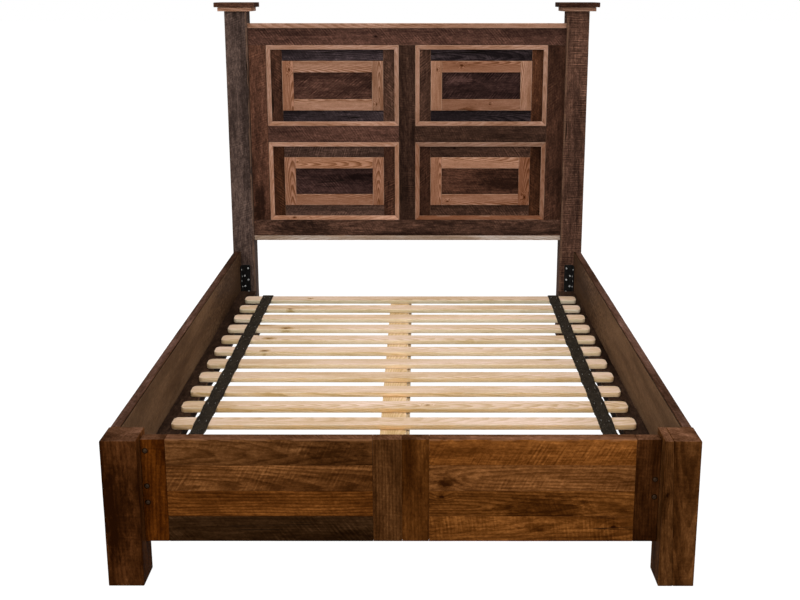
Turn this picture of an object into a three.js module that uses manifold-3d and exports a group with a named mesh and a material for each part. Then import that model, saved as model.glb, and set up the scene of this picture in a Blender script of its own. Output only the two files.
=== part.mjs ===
// Queen-size panel bed frame in reclaimed barn boards.
// Millimetres. +Z is up, +X is the right-hand side seen from the foot, and +Y runs from
// foot to head. The origin is on the floor, under the middle of the whole bed.

import * as THREE from 'three';
import { mergeVertices } from 'three/addons/utils/BufferGeometryUtils.js';
import Module from 'manifold-3d';

// ---------------------------------------------------------------- driving dimensions

const MATTRESS_WIDTH = 1524;
const MATTRESS_SIDE_GAP = 20;
const FIT = 0.3; // clearance between two pieces that touch
const WELD_TOLERANCE = 1e-4; // vertices closer than this are one vertex

// Posts and caps
const POST_SIZE = 100;
const HEAD_POST_HEIGHT = 1538.5;
const FOOT_POST_HEIGHT = 434;
const CAP_BASE_SIZE = 150;
const CAP_BASE_THICKNESS = 17.5;
const CAP_BOARD_SIZE = 178;
const CAP_BOARD_THICKNESS = 21;

// Side rails, with the cleats that carry the slats
const RAIL_LENGTH = 2082;
const RAIL_HEIGHT = 306;
const RAIL_THICKNESS = 32;
const RAIL_INSET = 4;
const CLEAT_WIDTH = 78;
const CLEAT_THICKNESS = 38;
const CLEAT_TO_BRACKET_GAP = 19;

// Slat mat
const SLAT_COUNT = 13;
const SLAT_TOP_BELOW_RAIL = 159;
const SLAT_WIDTH = 64;
const SLAT_THICKNESS = 17;
const SLAT_END_GAP = 37;
const SLAT_CORNER_RADIUS = 17;
const SLAT_CORNER_STEPS = 5;
const FOOT_POST_TO_FIRST_SLAT = 108;
const LAST_SLAT_TO_HEAD_POST = 206;
const STRAP_WIDTH = 48;
const STRAP_THICKNESS = 2;
const STRAP_FROM_SLAT_END = 98;
const STRAP_TAIL = 3;

// Centre beam: a flat board with an upright board glued to its right edge
const BEAM_WIDTH = 78;
const BEAM_THICKNESS = 19;
const BEAM_OFFSET = -34;
const STIFFENER_THICKNESS = 16;
const STIFFENER_HEIGHT = 64;
const STIFFENER_DROP = 6;
const LEG_SIZE = 44;
const LEG_SPACING = 1000;
const LEG_REAR_SETBACK = 380;

// Footboard: two fields of stacked boards between a centre stile and two end stiles
const FOOT_HEIGHT = 306;
const FOOT_TOP_DROP = 12;
const FOOT_THICKNESS = 37;
const FOOT_SETBACK = 40;
const FOOT_END_STILE_WIDTH = 68;
const FOOT_CENTRE_STILE_WIDTH = 156;

// Headboard frame: rails, stiles and a mullion around four openings
const POST_ABOVE_HEADBOARD = 52.5;
const HEAD_SETBACK = 13;
const HEAD_THICKNESS = 25;
const HEAD_RAIL_WIDTH = 75.5;
const HEAD_STILE_WIDTH = 80;
const HEAD_MULLION_WIDTH = 75;
const HEAD_OPENING_HEIGHT = 365;
const HEAD_TRIM_THICKNESS = 21.5;
const HEAD_TRIM_OVERHANG = 3;

// Headboard panels: a recessed field with a thin frame at its edge and a wide frame inside
const FIELD_RECESS = 8;
const THIN_FRAME_WIDTH = 19.5;
const THIN_FRAME_PROUD = 1.5;
const BORDER_WIDTH = 51;
const INNER_FRAME_WIDTH = 51.5;
const INNER_FRAME_PROUD = 0.5;

// Tenons that hold the headboard and footboard in their posts
const TENON_LENGTH = 45;
const TENON_THICKNESS = 12;
const TENON_SHOULDER = 14;
const MORTISE_EXTRA_DEPTH = 2;

// Steel corner brackets between rails and posts
const BRACKET_HEIGHT = 160;
const BRACKET_LEAF = 41;
const BRACKET_THICKNESS = 4;
const BRACKET_BELOW_RAIL = 64;

// Eased edges
const BOARD_EASE = 1.5;
const POST_EASE = 3;
const CAP_EASE = 2;
const TRIM_EASE = 1;

// ---------------------------------------------------------------- derived planes

const railInnerX = MATTRESS_WIDTH / 2 + MATTRESS_SIDE_GAP;
const railOuterX = railInnerX + RAIL_THICKNESS;
const postOuterX = railOuterX + RAIL_INSET;
const postInnerX = postOuterX - POST_SIZE;
const postCentreX = postOuterX - POST_SIZE / 2;

const capOverhang = (CAP_BOARD_SIZE - POST_SIZE) / 2;
const bedLength = POST_SIZE + RAIL_LENGTH + POST_SIZE + capOverhang;
const footPostFrontY = -bedLength / 2;
const footPostBackY = footPostFrontY + POST_SIZE;
const headPostFrontY = footPostBackY + RAIL_LENGTH;
const headPostBackY = headPostFrontY + POST_SIZE;
const headPostCentreY = headPostFrontY + POST_SIZE / 2;

const railTop = FOOT_POST_HEIGHT;
const railBottom = railTop - RAIL_HEIGHT;
const slatTop = railTop - SLAT_TOP_BELOW_RAIL;
const slatBottom = slatTop - SLAT_THICKNESS;
const cleatEndGap = BRACKET_LEAF + CLEAT_TO_BRACKET_GAP;
const bracketTop = railTop - BRACKET_BELOW_RAIL;
const footTop = FOOT_POST_HEIGHT - FOOT_TOP_DROP;
const footBottom = footTop - FOOT_HEIGHT;
const footFrontY = footPostFrontY + FOOT_SETBACK;
const footBackY = footFrontY + FOOT_THICKNESS;

const headFrontY = headPostFrontY + HEAD_SETBACK;
const headBackY = headFrontY + HEAD_THICKNESS;
const headTop = HEAD_POST_HEIGHT - POST_ABOVE_HEADBOARD;
const topRailTop = headTop - HEAD_TRIM_THICKNESS;
const topRailBottom = topRailTop - HEAD_RAIL_WIDTH;
const midRailTop = topRailBottom - HEAD_OPENING_HEIGHT;
const midRailBottom = midRailTop - HEAD_RAIL_WIDTH;
const bottomRailTop = midRailBottom - HEAD_OPENING_HEIGHT;
const bottomRailBottom = bottomRailTop - HEAD_RAIL_WIDTH;

// ---------------------------------------------------------------- materials

function finish(color, roughness, metalness = 0) {
  return new THREE.MeshStandardMaterial({ color, roughness, metalness });
}

const darkBoard = () => finish(0x4b342a, 0.75);
const charcoalBoard = () => finish(0x35302f, 0.8);
const lightOak = () => finish(0xb98a68, 0.65);
const warmBoard = () => finish(0x5a3a22, 0.6);
const palePine = () => finish(0xd9bd92, 0.6);
const blackWebbing = () => finish(0x24262a, 0.95);
const blackSteel = () => finish(0x17181a, 0.45, 0.6);

// ---------------------------------------------------------------- geometry helpers

const wasm = await Module();
wasm.setup();

function toSolid(geometry) {
  const bare = geometry.clone();
  bare.deleteAttribute('normal');
  bare.deleteAttribute('uv');
  const merged = mergeVertices(bare, WELD_TOLERANCE);
  return new wasm.Manifold(new wasm.Mesh({
    numProp: 3,
    vertProperties: new Float32Array(merged.attributes.position.array),
    triVerts: new Uint32Array(merged.index.array),
  }));
}

function toGeometry(solid) {
  const mesh = solid.getMesh();
  const geometry = new THREE.BufferGeometry();
  geometry.setAttribute('position', new THREE.BufferAttribute(mesh.vertProperties, 3));
  geometry.setIndex(new THREE.BufferAttribute(mesh.triVerts, 1));
  geometry.computeVertexNormals();
  return geometry;
}

// A block between two corners with every edge eased by a small flat.
function easedBlock(low, high, ease) {
  const [width, depth, height] = high.map((value, axis) => value - low[axis]);
  const x = width / 2;
  const y = depth / 2;
  const outline = new THREE.Shape([
    new THREE.Vector2(-x + ease, -y),
    new THREE.Vector2(x - ease, -y),
    new THREE.Vector2(x, -y + ease),
    new THREE.Vector2(x, y - ease),
    new THREE.Vector2(x - ease, y),
    new THREE.Vector2(-x + ease, y),
    new THREE.Vector2(-x, y - ease),
    new THREE.Vector2(-x, -y + ease),
  ]);
  const geometry = new THREE.ExtrudeGeometry(outline, {
    depth: height - 2 * ease,
    bevelEnabled: true,
    bevelThickness: ease,
    bevelSize: ease,
    bevelOffset: -ease,
    bevelSegments: 1,
  });
  geometry.translate(low[0] + x, low[1] + y, low[2] + ease);
  return geometry;
}

// A plain block between two corners, for tenons and mortises.
function block(low, high) {
  const size = high.map((value, axis) => value - low[axis]);
  const geometry = new THREE.BoxGeometry(...size);
  geometry.translate(...low.map((value, axis) => value + size[axis] / 2));
  return geometry;
}

// An upright rectangular frame in the XZ plane, hollow in the middle.
function uprightFrame(outer, memberWidth, frontY, backY) {
  const rectangle = (ShapeClass, inset) => new ShapeClass([
    new THREE.Vector2(outer.left + inset, outer.bottom + inset),
    new THREE.Vector2(outer.right - inset, outer.bottom + inset),
    new THREE.Vector2(outer.right - inset, outer.top - inset),
    new THREE.Vector2(outer.left + inset, outer.top - inset),
  ]);
  const shape = rectangle(THREE.Shape, 0);
  shape.holes.push(rectangle(THREE.Path, memberWidth));
  const geometry = new THREE.ExtrudeGeometry(shape, {
    depth: backY - frontY,
    bevelEnabled: false,
  });
  geometry.rotateX(Math.PI / 2);
  geometry.translate(0, backY, 0);
  return geometry;
}

// The span of a piece on one side of the bed, given its distances from the centre line.
function sideSpan(sign, inner, outer) {
  return sign > 0 ? [inner, outer] : [-outer, -inner];
}

const bed = new THREE.Group();

function add(parent, name, geometry, material) {
  const mesh = new THREE.Mesh(geometry, material);
  mesh.name = name;
  parent.add(mesh);
  return mesh;
}

function addBoard(parent, name, low, high, material, ease = BOARD_EASE) {
  return add(parent, name, easedBlock(low, high, ease), material);
}

const SIDES = [['left', -1], ['right', 1]];

// ---------------------------------------------------------------- tenons and mortises

// The height and depth of a tenon, centred in the thickness of its board.
function tenonSpan(bottom, top, frontY, backY) {
  const middleY = (frontY + backY) / 2;
  return {
    bottom: bottom + TENON_SHOULDER,
    top: top - TENON_SHOULDER,
    front: middleY - TENON_THICKNESS / 2,
    back: middleY + TENON_THICKNESS / 2,
  };
}

// The board with a tenon on one end, rooted just inside its eased edge.
function withTenon(geometry, sign, span, boardEndX) {
  const rootX = boardEndX - 2 * BOARD_EASE;
  const [lowX, highX] = sideSpan(sign, rootX, postInnerX + TENON_LENGTH);
  const tenon = block([lowX, span.front, span.bottom], [highX, span.back, span.top]);
  return toGeometry(toSolid(geometry).add(toSolid(tenon)));
}

// The post with a blind mortise in its inner face, a fit larger than the tenon all round.
function withMortise(geometry, sign, span) {
  const depth = TENON_LENGTH + MORTISE_EXTRA_DEPTH;
  const [lowX, highX] = sideSpan(sign, postInnerX - FIT, postInnerX + depth);
  const mortise = block(
    [lowX, span.front - FIT, span.bottom - FIT],
    [highX, span.back + FIT, span.top + FIT],
  );
  return toGeometry(toSolid(geometry).subtract(toSolid(mortise)));
}

const topTenon = tenonSpan(topRailBottom, topRailTop, headFrontY, headBackY);
const bottomTenon = tenonSpan(bottomRailBottom, bottomRailTop, headFrontY, headBackY);
const footTenon = tenonSpan(footBottom, footTop, footFrontY, footBackY);

// ---------------------------------------------------------------- posts and caps

function addSquareAt(parent, name, centreX, centreY, size, bottom, top, material, ease) {
  const half = size / 2;
  const low = [centreX - half, centreY - half, bottom];
  const high = [centreX + half, centreY + half, top];
  return addBoard(parent, name, low, high, material, ease);
}

function buildPosts() {
  const group = new THREE.Group();
  for (const [side, sign] of SIDES) {
    const [lowX, highX] = sideSpan(sign, postInnerX, postOuterX);

    let headPost = easedBlock(
      [lowX, headPostFrontY, 0],
      [highX, headPostBackY, HEAD_POST_HEIGHT],
      POST_EASE,
    );
    headPost = withMortise(headPost, sign, topTenon);
    headPost = withMortise(headPost, sign, bottomTenon);
    add(group, `head_post_${side}`, headPost, darkBoard());

    const footPost = easedBlock(
      [lowX, footPostFrontY, 0],
      [highX, footPostBackY, FOOT_POST_HEIGHT],
      POST_EASE,
    );
    add(group, `foot_post_${side}`, withMortise(footPost, sign, footTenon), warmBoard());

    const capBaseBottom = HEAD_POST_HEIGHT + FIT;
    const capBaseTop = capBaseBottom + CAP_BASE_THICKNESS;
    const capBottom = capBaseTop + FIT;
    const capTop = capBottom + CAP_BOARD_THICKNESS;
    const capX = sign * postCentreX;
    addSquareAt(group, `head_cap_base_${side}`, capX, headPostCentreY, CAP_BASE_SIZE,
      capBaseBottom, capBaseTop, lightOak(), TRIM_EASE);
    addSquareAt(group, `head_cap_board_${side}`, capX, headPostCentreY, CAP_BOARD_SIZE,
      capBottom, capTop, darkBoard(), CAP_EASE);
  }
  return group;
}

// ---------------------------------------------------------------- headboard

function buildHeadRail(name, bottom, top, tenon) {
  const endX = postInnerX - FIT;
  const board = easedBlock([-endX, headFrontY, bottom], [endX, headBackY, top], BOARD_EASE);
  const oneTenon = withTenon(board, -1, tenon, endX);
  const mesh = new THREE.Mesh(withTenon(oneTenon, 1, tenon, endX), darkBoard());
  mesh.name = name;
  return mesh;
}

function addTrim(group, name, bottom, top) {
  const endX = postInnerX - FIT;
  addBoard(group, name,
    [-endX, headFrontY - HEAD_TRIM_OVERHANG, bottom],
    [endX, headBackY + HEAD_TRIM_OVERHANG, top],
    lightOak(), TRIM_EASE);
}

// One panel: the field, the thin frame against its edges and the wide frame inside.
function addPanel(group, label, opening) {
  const fieldFrontY = headFrontY + FIELD_RECESS;
  addBoard(group, `head_field_${label}`,
    [opening.left + FIT, fieldFrontY, opening.bottom + FIT],
    [opening.right - FIT, headBackY, opening.top - FIT],
    label.startsWith('upper') ? charcoalBoard() : darkBoard());

  const frameBackY = fieldFrontY - FIT;
  const thinOuter = {
    left: opening.left + FIT,
    right: opening.right - FIT,
    bottom: opening.bottom + FIT,
    top: opening.top - FIT,
  };
  add(group, `head_thin_frame_${label}`,
    uprightFrame(thinOuter, THIN_FRAME_WIDTH, headFrontY - THIN_FRAME_PROUD, frameBackY),
    lightOak());

  const inset = THIN_FRAME_WIDTH + BORDER_WIDTH;
  const innerOuter = {
    left: opening.left + inset,
    right: opening.right - inset,
    bottom: opening.bottom + inset,
    top: opening.top - inset,
  };
  add(group, `head_inner_frame_${label}`,
    uprightFrame(innerOuter, INNER_FRAME_WIDTH, headFrontY - INNER_FRAME_PROUD, frameBackY),
    lightOak());
}

function buildHeadboard() {
  const group = new THREE.Group();
  group.add(buildHeadRail('head_top_rail', topRailBottom, topRailTop - FIT, topTenon));
  group.add(buildHeadRail('head_bottom_rail', bottomRailBottom + FIT, bottomRailTop, bottomTenon));
  addTrim(group, 'head_top_trim', topRailTop, headTop);
  addTrim(group, 'head_bottom_trim', bottomRailBottom - HEAD_TRIM_THICKNESS, bottomRailBottom);

  const stileInnerX = postInnerX - HEAD_STILE_WIDTH;
  const mullionX = HEAD_MULLION_WIDTH / 2;
  const stileBottom = bottomRailTop + FIT;
  const stileTop = topRailBottom - FIT;
  addBoard(group, 'head_mullion',
    [-mullionX, headFrontY, stileBottom],
    [mullionX, headBackY, stileTop],
    darkBoard());

  for (const [side, sign] of SIDES) {
    const [stileLow, stileHigh] = sideSpan(sign, stileInnerX, postInnerX - FIT);
    addBoard(group, `head_stile_${side}`,
      [stileLow, headFrontY, stileBottom],
      [stileHigh, headBackY, stileTop],
      darkBoard());

    const [openLow, openHigh] = sideSpan(sign, mullionX, stileInnerX);
    addBoard(group, `head_mid_rail_${side}`,
      [openLow + FIT, headFrontY, midRailBottom],
      [openHigh - FIT, headBackY, midRailTop],
      darkBoard());

    addPanel(group, `upper_${side}`,
      { left: openLow, right: openHigh, bottom: midRailTop, top: topRailBottom });
    addPanel(group, `lower_${side}`,
      { left: openLow, right: openHigh, bottom: bottomRailTop, top: midRailBottom });
  }
  return group;
}

// ---------------------------------------------------------------- footboard

function buildFootboard() {
  const group = new THREE.Group();
  const centreX = FOOT_CENTRE_STILE_WIDTH / 2;
  const endStileInnerX = postInnerX - FOOT_END_STILE_WIDTH;
  const endX = postInnerX - FIT;
  addBoard(group, 'foot_centre_stile',
    [-centreX, footFrontY, footBottom],
    [centreX, footBackY, footTop],
    warmBoard());

  for (const [side, sign] of SIDES) {
    const [fieldLow, fieldHigh] = sideSpan(sign, centreX + FIT, endStileInnerX - FIT);
    addBoard(group, `foot_field_${side}`,
      [fieldLow, footFrontY, footBottom],
      [fieldHigh, footBackY, footTop],
      warmBoard());

    const [stileLow, stileHigh] = sideSpan(sign, endStileInnerX, endX);
    const stile = easedBlock(
      [stileLow, footFrontY, footBottom],
      [stileHigh, footBackY, footTop],
      BOARD_EASE,
    );
    add(group, `foot_end_stile_${side}`, withTenon(stile, sign, footTenon, endX), warmBoard());
  }
  return group;
}

// ---------------------------------------------------------------- side rails, cleats, brackets

// An L-shaped steel plate, seen from above, with one leaf on the post and one on the rail.
function bracketGeometry(sign, postFaceY, towardsBed) {
  const cornerX = sign * (railInnerX - FIT);
  const cornerY = postFaceY + towardsBed * FIT;
  const at = (alongX, alongY) => new THREE.Vector2(
    cornerX - sign * alongX,
    cornerY + towardsBed * alongY,
  );
  const outline = new THREE.Shape([
    at(0, 0),
    at(BRACKET_LEAF, 0),
    at(BRACKET_LEAF, BRACKET_THICKNESS),
    at(BRACKET_THICKNESS, BRACKET_THICKNESS),
    at(BRACKET_THICKNESS, BRACKET_LEAF),
    at(0, BRACKET_LEAF),
  ]);
  const geometry = new THREE.ExtrudeGeometry(outline, {
    depth: BRACKET_HEIGHT,
    bevelEnabled: false,
  });
  geometry.translate(0, 0, bracketTop - BRACKET_HEIGHT);
  return geometry;
}

function buildSides() {
  const group = new THREE.Group();
  for (const [side, sign] of SIDES) {
    const [railLow, railHigh] = sideSpan(sign, railInnerX, railOuterX);
    addBoard(group, `side_rail_${side}`,
      [railLow, footPostBackY + FIT, railBottom],
      [railHigh, headPostFrontY - FIT, railTop],
      warmBoard());

    const cleatTop = slatBottom - FIT;
    const [cleatLow, cleatHigh] = sideSpan(sign, railInnerX - CLEAT_WIDTH, railInnerX - FIT);
    addBoard(group, `slat_cleat_${side}`,
      [cleatLow, footPostBackY + cleatEndGap, cleatTop - CLEAT_THICKNESS],
      [cleatHigh, headPostFrontY - cleatEndGap, cleatTop],
      darkBoard());

    add(group, `rail_bracket_head_${side}`,
      bracketGeometry(sign, headPostFrontY, -1), blackSteel());
    add(group, `rail_bracket_foot_${side}`,
      bracketGeometry(sign, footPostBackY, 1), blackSteel());
  }
  return group;
}

// ---------------------------------------------------------------- slat mat

const lastSlatBackY = headPostFrontY - LAST_SLAT_TO_HEAD_POST;
const firstSlatFrontY = footPostBackY + FOOT_POST_TO_FIRST_SLAT;
const slatPitch = (lastSlatBackY - SLAT_WIDTH - firstSlatFrontY) / (SLAT_COUNT - 1);

function slatGeometry() {
  const x = railInnerX - SLAT_END_GAP;
  const y = SLAT_WIDTH / 2;
  const r = SLAT_CORNER_RADIUS;
  const outline = new THREE.Shape();
  outline.moveTo(-x + r, -y);
  outline.lineTo(x - r, -y);
  outline.absarc(x - r, -y + r, r, -Math.PI / 2, 0, false);
  outline.lineTo(x, y - r);
  outline.absarc(x - r, y - r, r, 0, Math.PI / 2, false);
  outline.lineTo(-x + r, y);
  outline.absarc(-x + r, y - r, r, Math.PI / 2, Math.PI, false);
  outline.lineTo(-x, -y + r);
  outline.absarc(-x + r, -y + r, r, Math.PI, Math.PI * 1.5, false);
  return new THREE.ExtrudeGeometry(outline, {
    depth: SLAT_THICKNESS,
    bevelEnabled: false,
    curveSegments: SLAT_CORNER_STEPS,
  });
}

function buildSlatMat() {
  const group = new THREE.Group();
  for (let index = 0; index < SLAT_COUNT; index += 1) {
    const label = String(index + 1).padStart(2, '0');
    const slat = add(group, `slat_${label}`, slatGeometry(), palePine());
    slat.position.y = firstSlatFrontY + SLAT_WIDTH / 2 + index * slatPitch;
    slat.position.z = slatBottom;
  }

  const strapOuterX = railInnerX - SLAT_END_GAP - STRAP_FROM_SLAT_END + STRAP_WIDTH / 2;
  const strapBottom = slatTop + FIT;
  for (const [side, sign] of SIDES) {
    const [lowX, highX] = sideSpan(sign, strapOuterX - STRAP_WIDTH, strapOuterX);
    add(group, `strap_${side}`, block(
      [lowX, firstSlatFrontY - STRAP_TAIL, strapBottom],
      [highX, lastSlatBackY + STRAP_TAIL, strapBottom + STRAP_THICKNESS],
    ), blackWebbing());
  }
  return group;
}

// ---------------------------------------------------------------- centre beam and legs

function buildCentreSupport() {
  const group = new THREE.Group();
  const beamTop = slatBottom - FIT;
  const beamBottom = beamTop - BEAM_THICKNESS;
  const lowX = BEAM_OFFSET - BEAM_WIDTH / 2;
  const highX = BEAM_OFFSET + BEAM_WIDTH / 2;
  const frontY = footBackY + FIT;
  const flatBoard = easedBlock(
    [lowX, frontY, beamBottom],
    [highX, lastSlatBackY, beamTop],
    BOARD_EASE,
  );
  const stiffenerTop = beamTop - STIFFENER_DROP;
  const stiffener = block(
    [highX - BOARD_EASE, frontY, stiffenerTop - STIFFENER_HEIGHT],
    [highX + STIFFENER_THICKNESS, lastSlatBackY, stiffenerTop],
  );
  add(group, 'centre_beam', toGeometry(toSolid(flatBoard).add(toSolid(stiffener))), palePine());

  const rearLegY = lastSlatBackY - LEG_REAR_SETBACK;
  const legs = [['rear', rearLegY], ['front', rearLegY - LEG_SPACING]];
  for (const [label, y] of legs) {
    addSquareAt(group, `centre_leg_${label}`, BEAM_OFFSET, y, LEG_SIZE,
      0, beamBottom - FIT, palePine(), BOARD_EASE);
  }
  return group;
}

bed.add(
  buildPosts(),
  buildHeadboard(),
  buildFootboard(),
  buildSides(),
  buildSlatMat(),
  buildCentreSupport(),
);

export default bed;
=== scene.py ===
"""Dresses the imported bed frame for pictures.

Reclaimed barn boards, light oak trims, a pine slat mat on black webbing and black steel corner
plates are built board by board round the fixed frame, and each one takes a procedural finish.
"""

import logging
import math
import random
from dataclasses import dataclass, replace
from enum import Enum
from functools import cached_property

import bpy
from mathutils import Euler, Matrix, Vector, noise


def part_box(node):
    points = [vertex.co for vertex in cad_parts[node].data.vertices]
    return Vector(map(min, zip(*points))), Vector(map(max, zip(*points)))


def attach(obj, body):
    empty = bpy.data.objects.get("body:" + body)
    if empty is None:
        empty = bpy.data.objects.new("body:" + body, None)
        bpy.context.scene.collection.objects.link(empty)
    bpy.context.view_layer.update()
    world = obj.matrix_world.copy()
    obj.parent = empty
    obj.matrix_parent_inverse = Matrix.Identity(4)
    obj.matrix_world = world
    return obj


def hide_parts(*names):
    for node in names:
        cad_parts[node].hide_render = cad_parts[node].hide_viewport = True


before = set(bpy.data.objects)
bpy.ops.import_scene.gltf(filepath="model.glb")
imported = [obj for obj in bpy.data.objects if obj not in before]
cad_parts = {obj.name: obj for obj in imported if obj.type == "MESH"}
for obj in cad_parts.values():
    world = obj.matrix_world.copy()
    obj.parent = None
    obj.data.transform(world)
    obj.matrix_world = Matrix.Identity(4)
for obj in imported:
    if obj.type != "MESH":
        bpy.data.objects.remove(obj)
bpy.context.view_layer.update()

LOG = logging.getLogger("bed_frame")

MM = 0.001
BODY_FRAME = "frame"
BODY_MAT = "slat_mat"

Triple = tuple[float, float, float]
Colour = Triple
Pair = tuple[float, float]
Socket = bpy.types.NodeSocket
Tree = bpy.types.NodeTree


class Axis(Enum):
    """A direction of the shared frame, by its place in a point."""

    X = 0
    Y = 1
    Z = 2


X, Y, Z = Axis


class Side(Enum):
    """Left or right of the bed, seen from its foot, by its sign along X."""

    LEFT = -1
    RIGHT = 1

    @property
    def word(self) -> str:
        """The word that node names use for this side."""
        return self.name.lower()


class Datum(Enum):
    """What every point carries for its finish to read, by its name on the mesh."""

    PLACE = "grain_at"
    MARKS = "marks"
    TRAITS = "traits"
    KNOT = "knot_at"
    BLOT = "blot_at"
    HEART = "heart_at"
    STAIN = "stain"
    ARRIS = "arris"

    @property
    def kind(self) -> tuple[str, str, str]:
        """How it is stored, the field that sets it and the socket that gives it."""
        if self is Datum.STAIN:
            return "FLOAT_COLOR", "color", "Color"
        if self is Datum.ARRIS:
            return "FLOAT", "value", "Fac"
        return "FLOAT_VECTOR", "vector", "Vector"


class Stain(Enum):
    """Linear colours of the woods under their lacquer."""

    ASH_BROWN = (0.0725, 0.0465, 0.0374)
    COCOA = (0.068, 0.0328, 0.0213)
    DUN = (0.066, 0.0356, 0.0257)
    PLUM = (0.066, 0.032, 0.027)
    CHESTNUT = (0.068, 0.0307, 0.0213)
    UMBER = (0.071, 0.0298, 0.0178)
    MAROON = (0.0555, 0.0206, 0.0098)
    CHARCOAL = (0.031, 0.0215, 0.0228)
    OLIVE = (0.115, 0.0635, 0.0335)
    HONEY = (0.107, 0.039, 0.0103)
    AMBER = (0.155, 0.051, 0.0095)
    CARAMEL = (0.105, 0.033, 0.0058)
    RUST = (0.075, 0.019, 0.0019)
    EARTH = (0.040, 0.0126, 0.0031)
    BOG = (0.028, 0.0114, 0.0037)
    SALMON_OAK = (0.296, 0.160, 0.107)
    TAN_OAK = (0.285, 0.137, 0.083)
    STRAW_OAK = (0.289, 0.154, 0.100)
    RED_OAK = (0.275, 0.112, 0.058)
    GREY_OAK = (0.345, 0.276, 0.232)
    PINE = (0.642, 0.468, 0.345)
    DEAL = (0.612, 0.430, 0.250)
    BATTEN = (0.030, 0.016, 0.010)
    # Worn top faces, lightened with a painted sheen where light glances off the lacquer.
    WORN_TOP = (0.070, 0.0292, 0.0136)


# ---- Boxes and boards ----


@dataclass(frozen=True)
class Box:
    """A box of the shared frame.

    Attributes:
        low: Its lowest corner, in metres.
        high: Its highest corner, in metres.
    """

    low: Vector
    high: Vector

    @staticmethod
    def of(node: str) -> "Box":
        """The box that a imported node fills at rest."""
        return Box(*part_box(node))

    @property
    def centre(self) -> Vector:
        """The middle of the box."""
        return (self.low + self.high) / 2

    @property
    def size(self) -> Vector:
        """The lengths of the box's sides."""
        return self.high - self.low

    def cut(self, axis: Axis, low: float | None = None, high: float | None = None) -> "Box":
        """Sets one or both ends of the box along an axis.

        Args:
            axis: The axis to cut along.
            low: The new low end, or None to keep it.
            high: The new high end, or None to keep it.

        Returns:
            The cut box.
        """
        start, end = self.low.copy(), self.high.copy()
        start[axis.value] = start[axis.value] if low is None else low
        end[axis.value] = end[axis.value] if high is None else high
        return Box(start, end)

    def inset(self, axis: Axis, by: float) -> "Box":
        """The box with both ends along an axis drawn in by a distance."""
        return self.cut(axis, self.low[axis.value] + by, self.high[axis.value] - by)

    def strip(self, axis: Axis, end: int, width: float) -> "Box":
        """Takes the strip along one end of the box.

        Args:
            axis: The axis whose end it lies at.
            end: 1 for the high end, -1 for the low one.
            width: The strip's width.

        Returns:
            The strip's box.
        """
        if end > 0:
            return self.cut(axis, low=self.high[axis.value] - width)
        return self.cut(axis, high=self.low[axis.value] + width)

    def split(self, axis: Axis, count: int, gap: float) -> "list[Box]":
        """Shares the box out in equal boards.

        Args:
            axis: The axis to divide along.
            count: How many boards there are.
            gap: The open seam between two boards, in metres.

        Returns:
            The boards' boxes, from the low end up.
        """
        start = self.low[axis.value]
        pitch = (self.high[axis.value] - start + gap) / count
        return [self.cut(axis, start + i * pitch, start + (i + 1) * pitch - gap) for i in range(count)]


@dataclass(frozen=True)
class Look:
    """What a board's finish reads at every point of it.

    Attributes:
        stain: The colour of the wood.
        tone: How light it is beside that colour.
        saw: Slant of the saw's marks, in radians from square across the grain.
        scored: How deep those marks are.
        figure: How strong the growth lines are.
        knots: How many knots it has.
        patches: How blotched it is with weather.
        checks: How cracked it is along the grain.
        knot: Where its own knot is along and across it from its middle, and the knot's radius.
        blot: Where its own stain mark is, and half that mark's length; below 0 the mark is pale.
        On a rail lining it is painted shade instead.
    """

    stain: Stain
    tone: float = 1.0
    saw: float = 0.5
    scored: float = 0.6
    figure: float = 0.4
    knots: float = 0.3
    patches: float = 0.5
    checks: float = 0.3
    knot: Triple = (0.0, 0.0, 0.0)
    blot: Triple = (0.0, 0.0, 0.0)


@dataclass(frozen=True)
class Board:
    """One sawn board with eased, worn arrises.

    Attributes:
        box: The space it fills.
        grain: The axis that its grain runs along.
        face: The axis that its wide face looks along.
        look: What its finish reads.
        ease: Radius of its arrises, in metres.
        mitre: 1 or -1 where both ends are mitred and the long edge lies high or low across it.
        worn: How worn each of its four long arrises is.
        tongue: How far a tongue stands out of its low edge, its high edge and its ends.
        lean: How far its low and its high long edge have moved at its far end.
        top: What its upper face reads, with wear and painted sheen, and on a rail lining painted shade.
    """

    box: Box
    grain: Axis
    face: Axis
    look: Look
    ease: float
    mitre: int = 0
    worn: tuple[float, float, float, float] = (1.0, 1.0, 1.0, 1.0)
    tongue: Triple | None = None
    lean: Pair = (0.0, 0.0)
    top: Look | None = None

    def tongue_board(self) -> "Board":
        """The tongue in its edges, which closes its joints to the light."""
        across = Axis(axes_of(self.grain, self.face)[0][1])
        low, high, ends = self.tongue
        box = self.box.inset(self.face, self.box.size[self.face.value] / 3)
        box = box.inset(self.grain, -ends)
        box = box.cut(across, box.low[across.value] - low, box.high[across.value] + high)
        look = replace(self.look, tone=TONGUE_TONE * self.look.tone)
        return replace(self, box=box, look=look, ease=LEAST_RADIUS, tongue=None, top=None)


TONGUED = (2 * MM, 2 * MM, -2 * MM)
FULL_TONGUED = (2 * MM, 2 * MM, -0.3 * MM)
END_TONGUED = (2 * MM, 2 * MM, 2 * MM)
TONGUE_TONE = 0.3
CRISP = (0.3, 0.3, 0.3, 0.3)
STATION_STEP = 34 * MM
SIDE_STEP = 26 * MM
SUPPORT_WIDTH = 3 * MM
LEAST_RADIUS = 0.3 * MM
SURFACE_WAVE = 0.22 * MM
WAVES_IN_METRE = 7
RUBS_IN_METRE = 9
NICKS_IN_METRE = 31
NICK_BAR = 0.35
MEAN_EASE = 0.85
RUB_DEPTH = 0.35
NICK_DEPTH = 2.0
DRAW_LOSS = 0.6
RUB_APART = 3.1
NICK_APART = 5.7
TOP_SKIN = 0.25 * MM
PLACE_SPREAD = 20.0
HEART_DEPTH = (14 * MM, 50 * MM)
HEART_SPREAD = (0.6, 0.9)
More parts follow.
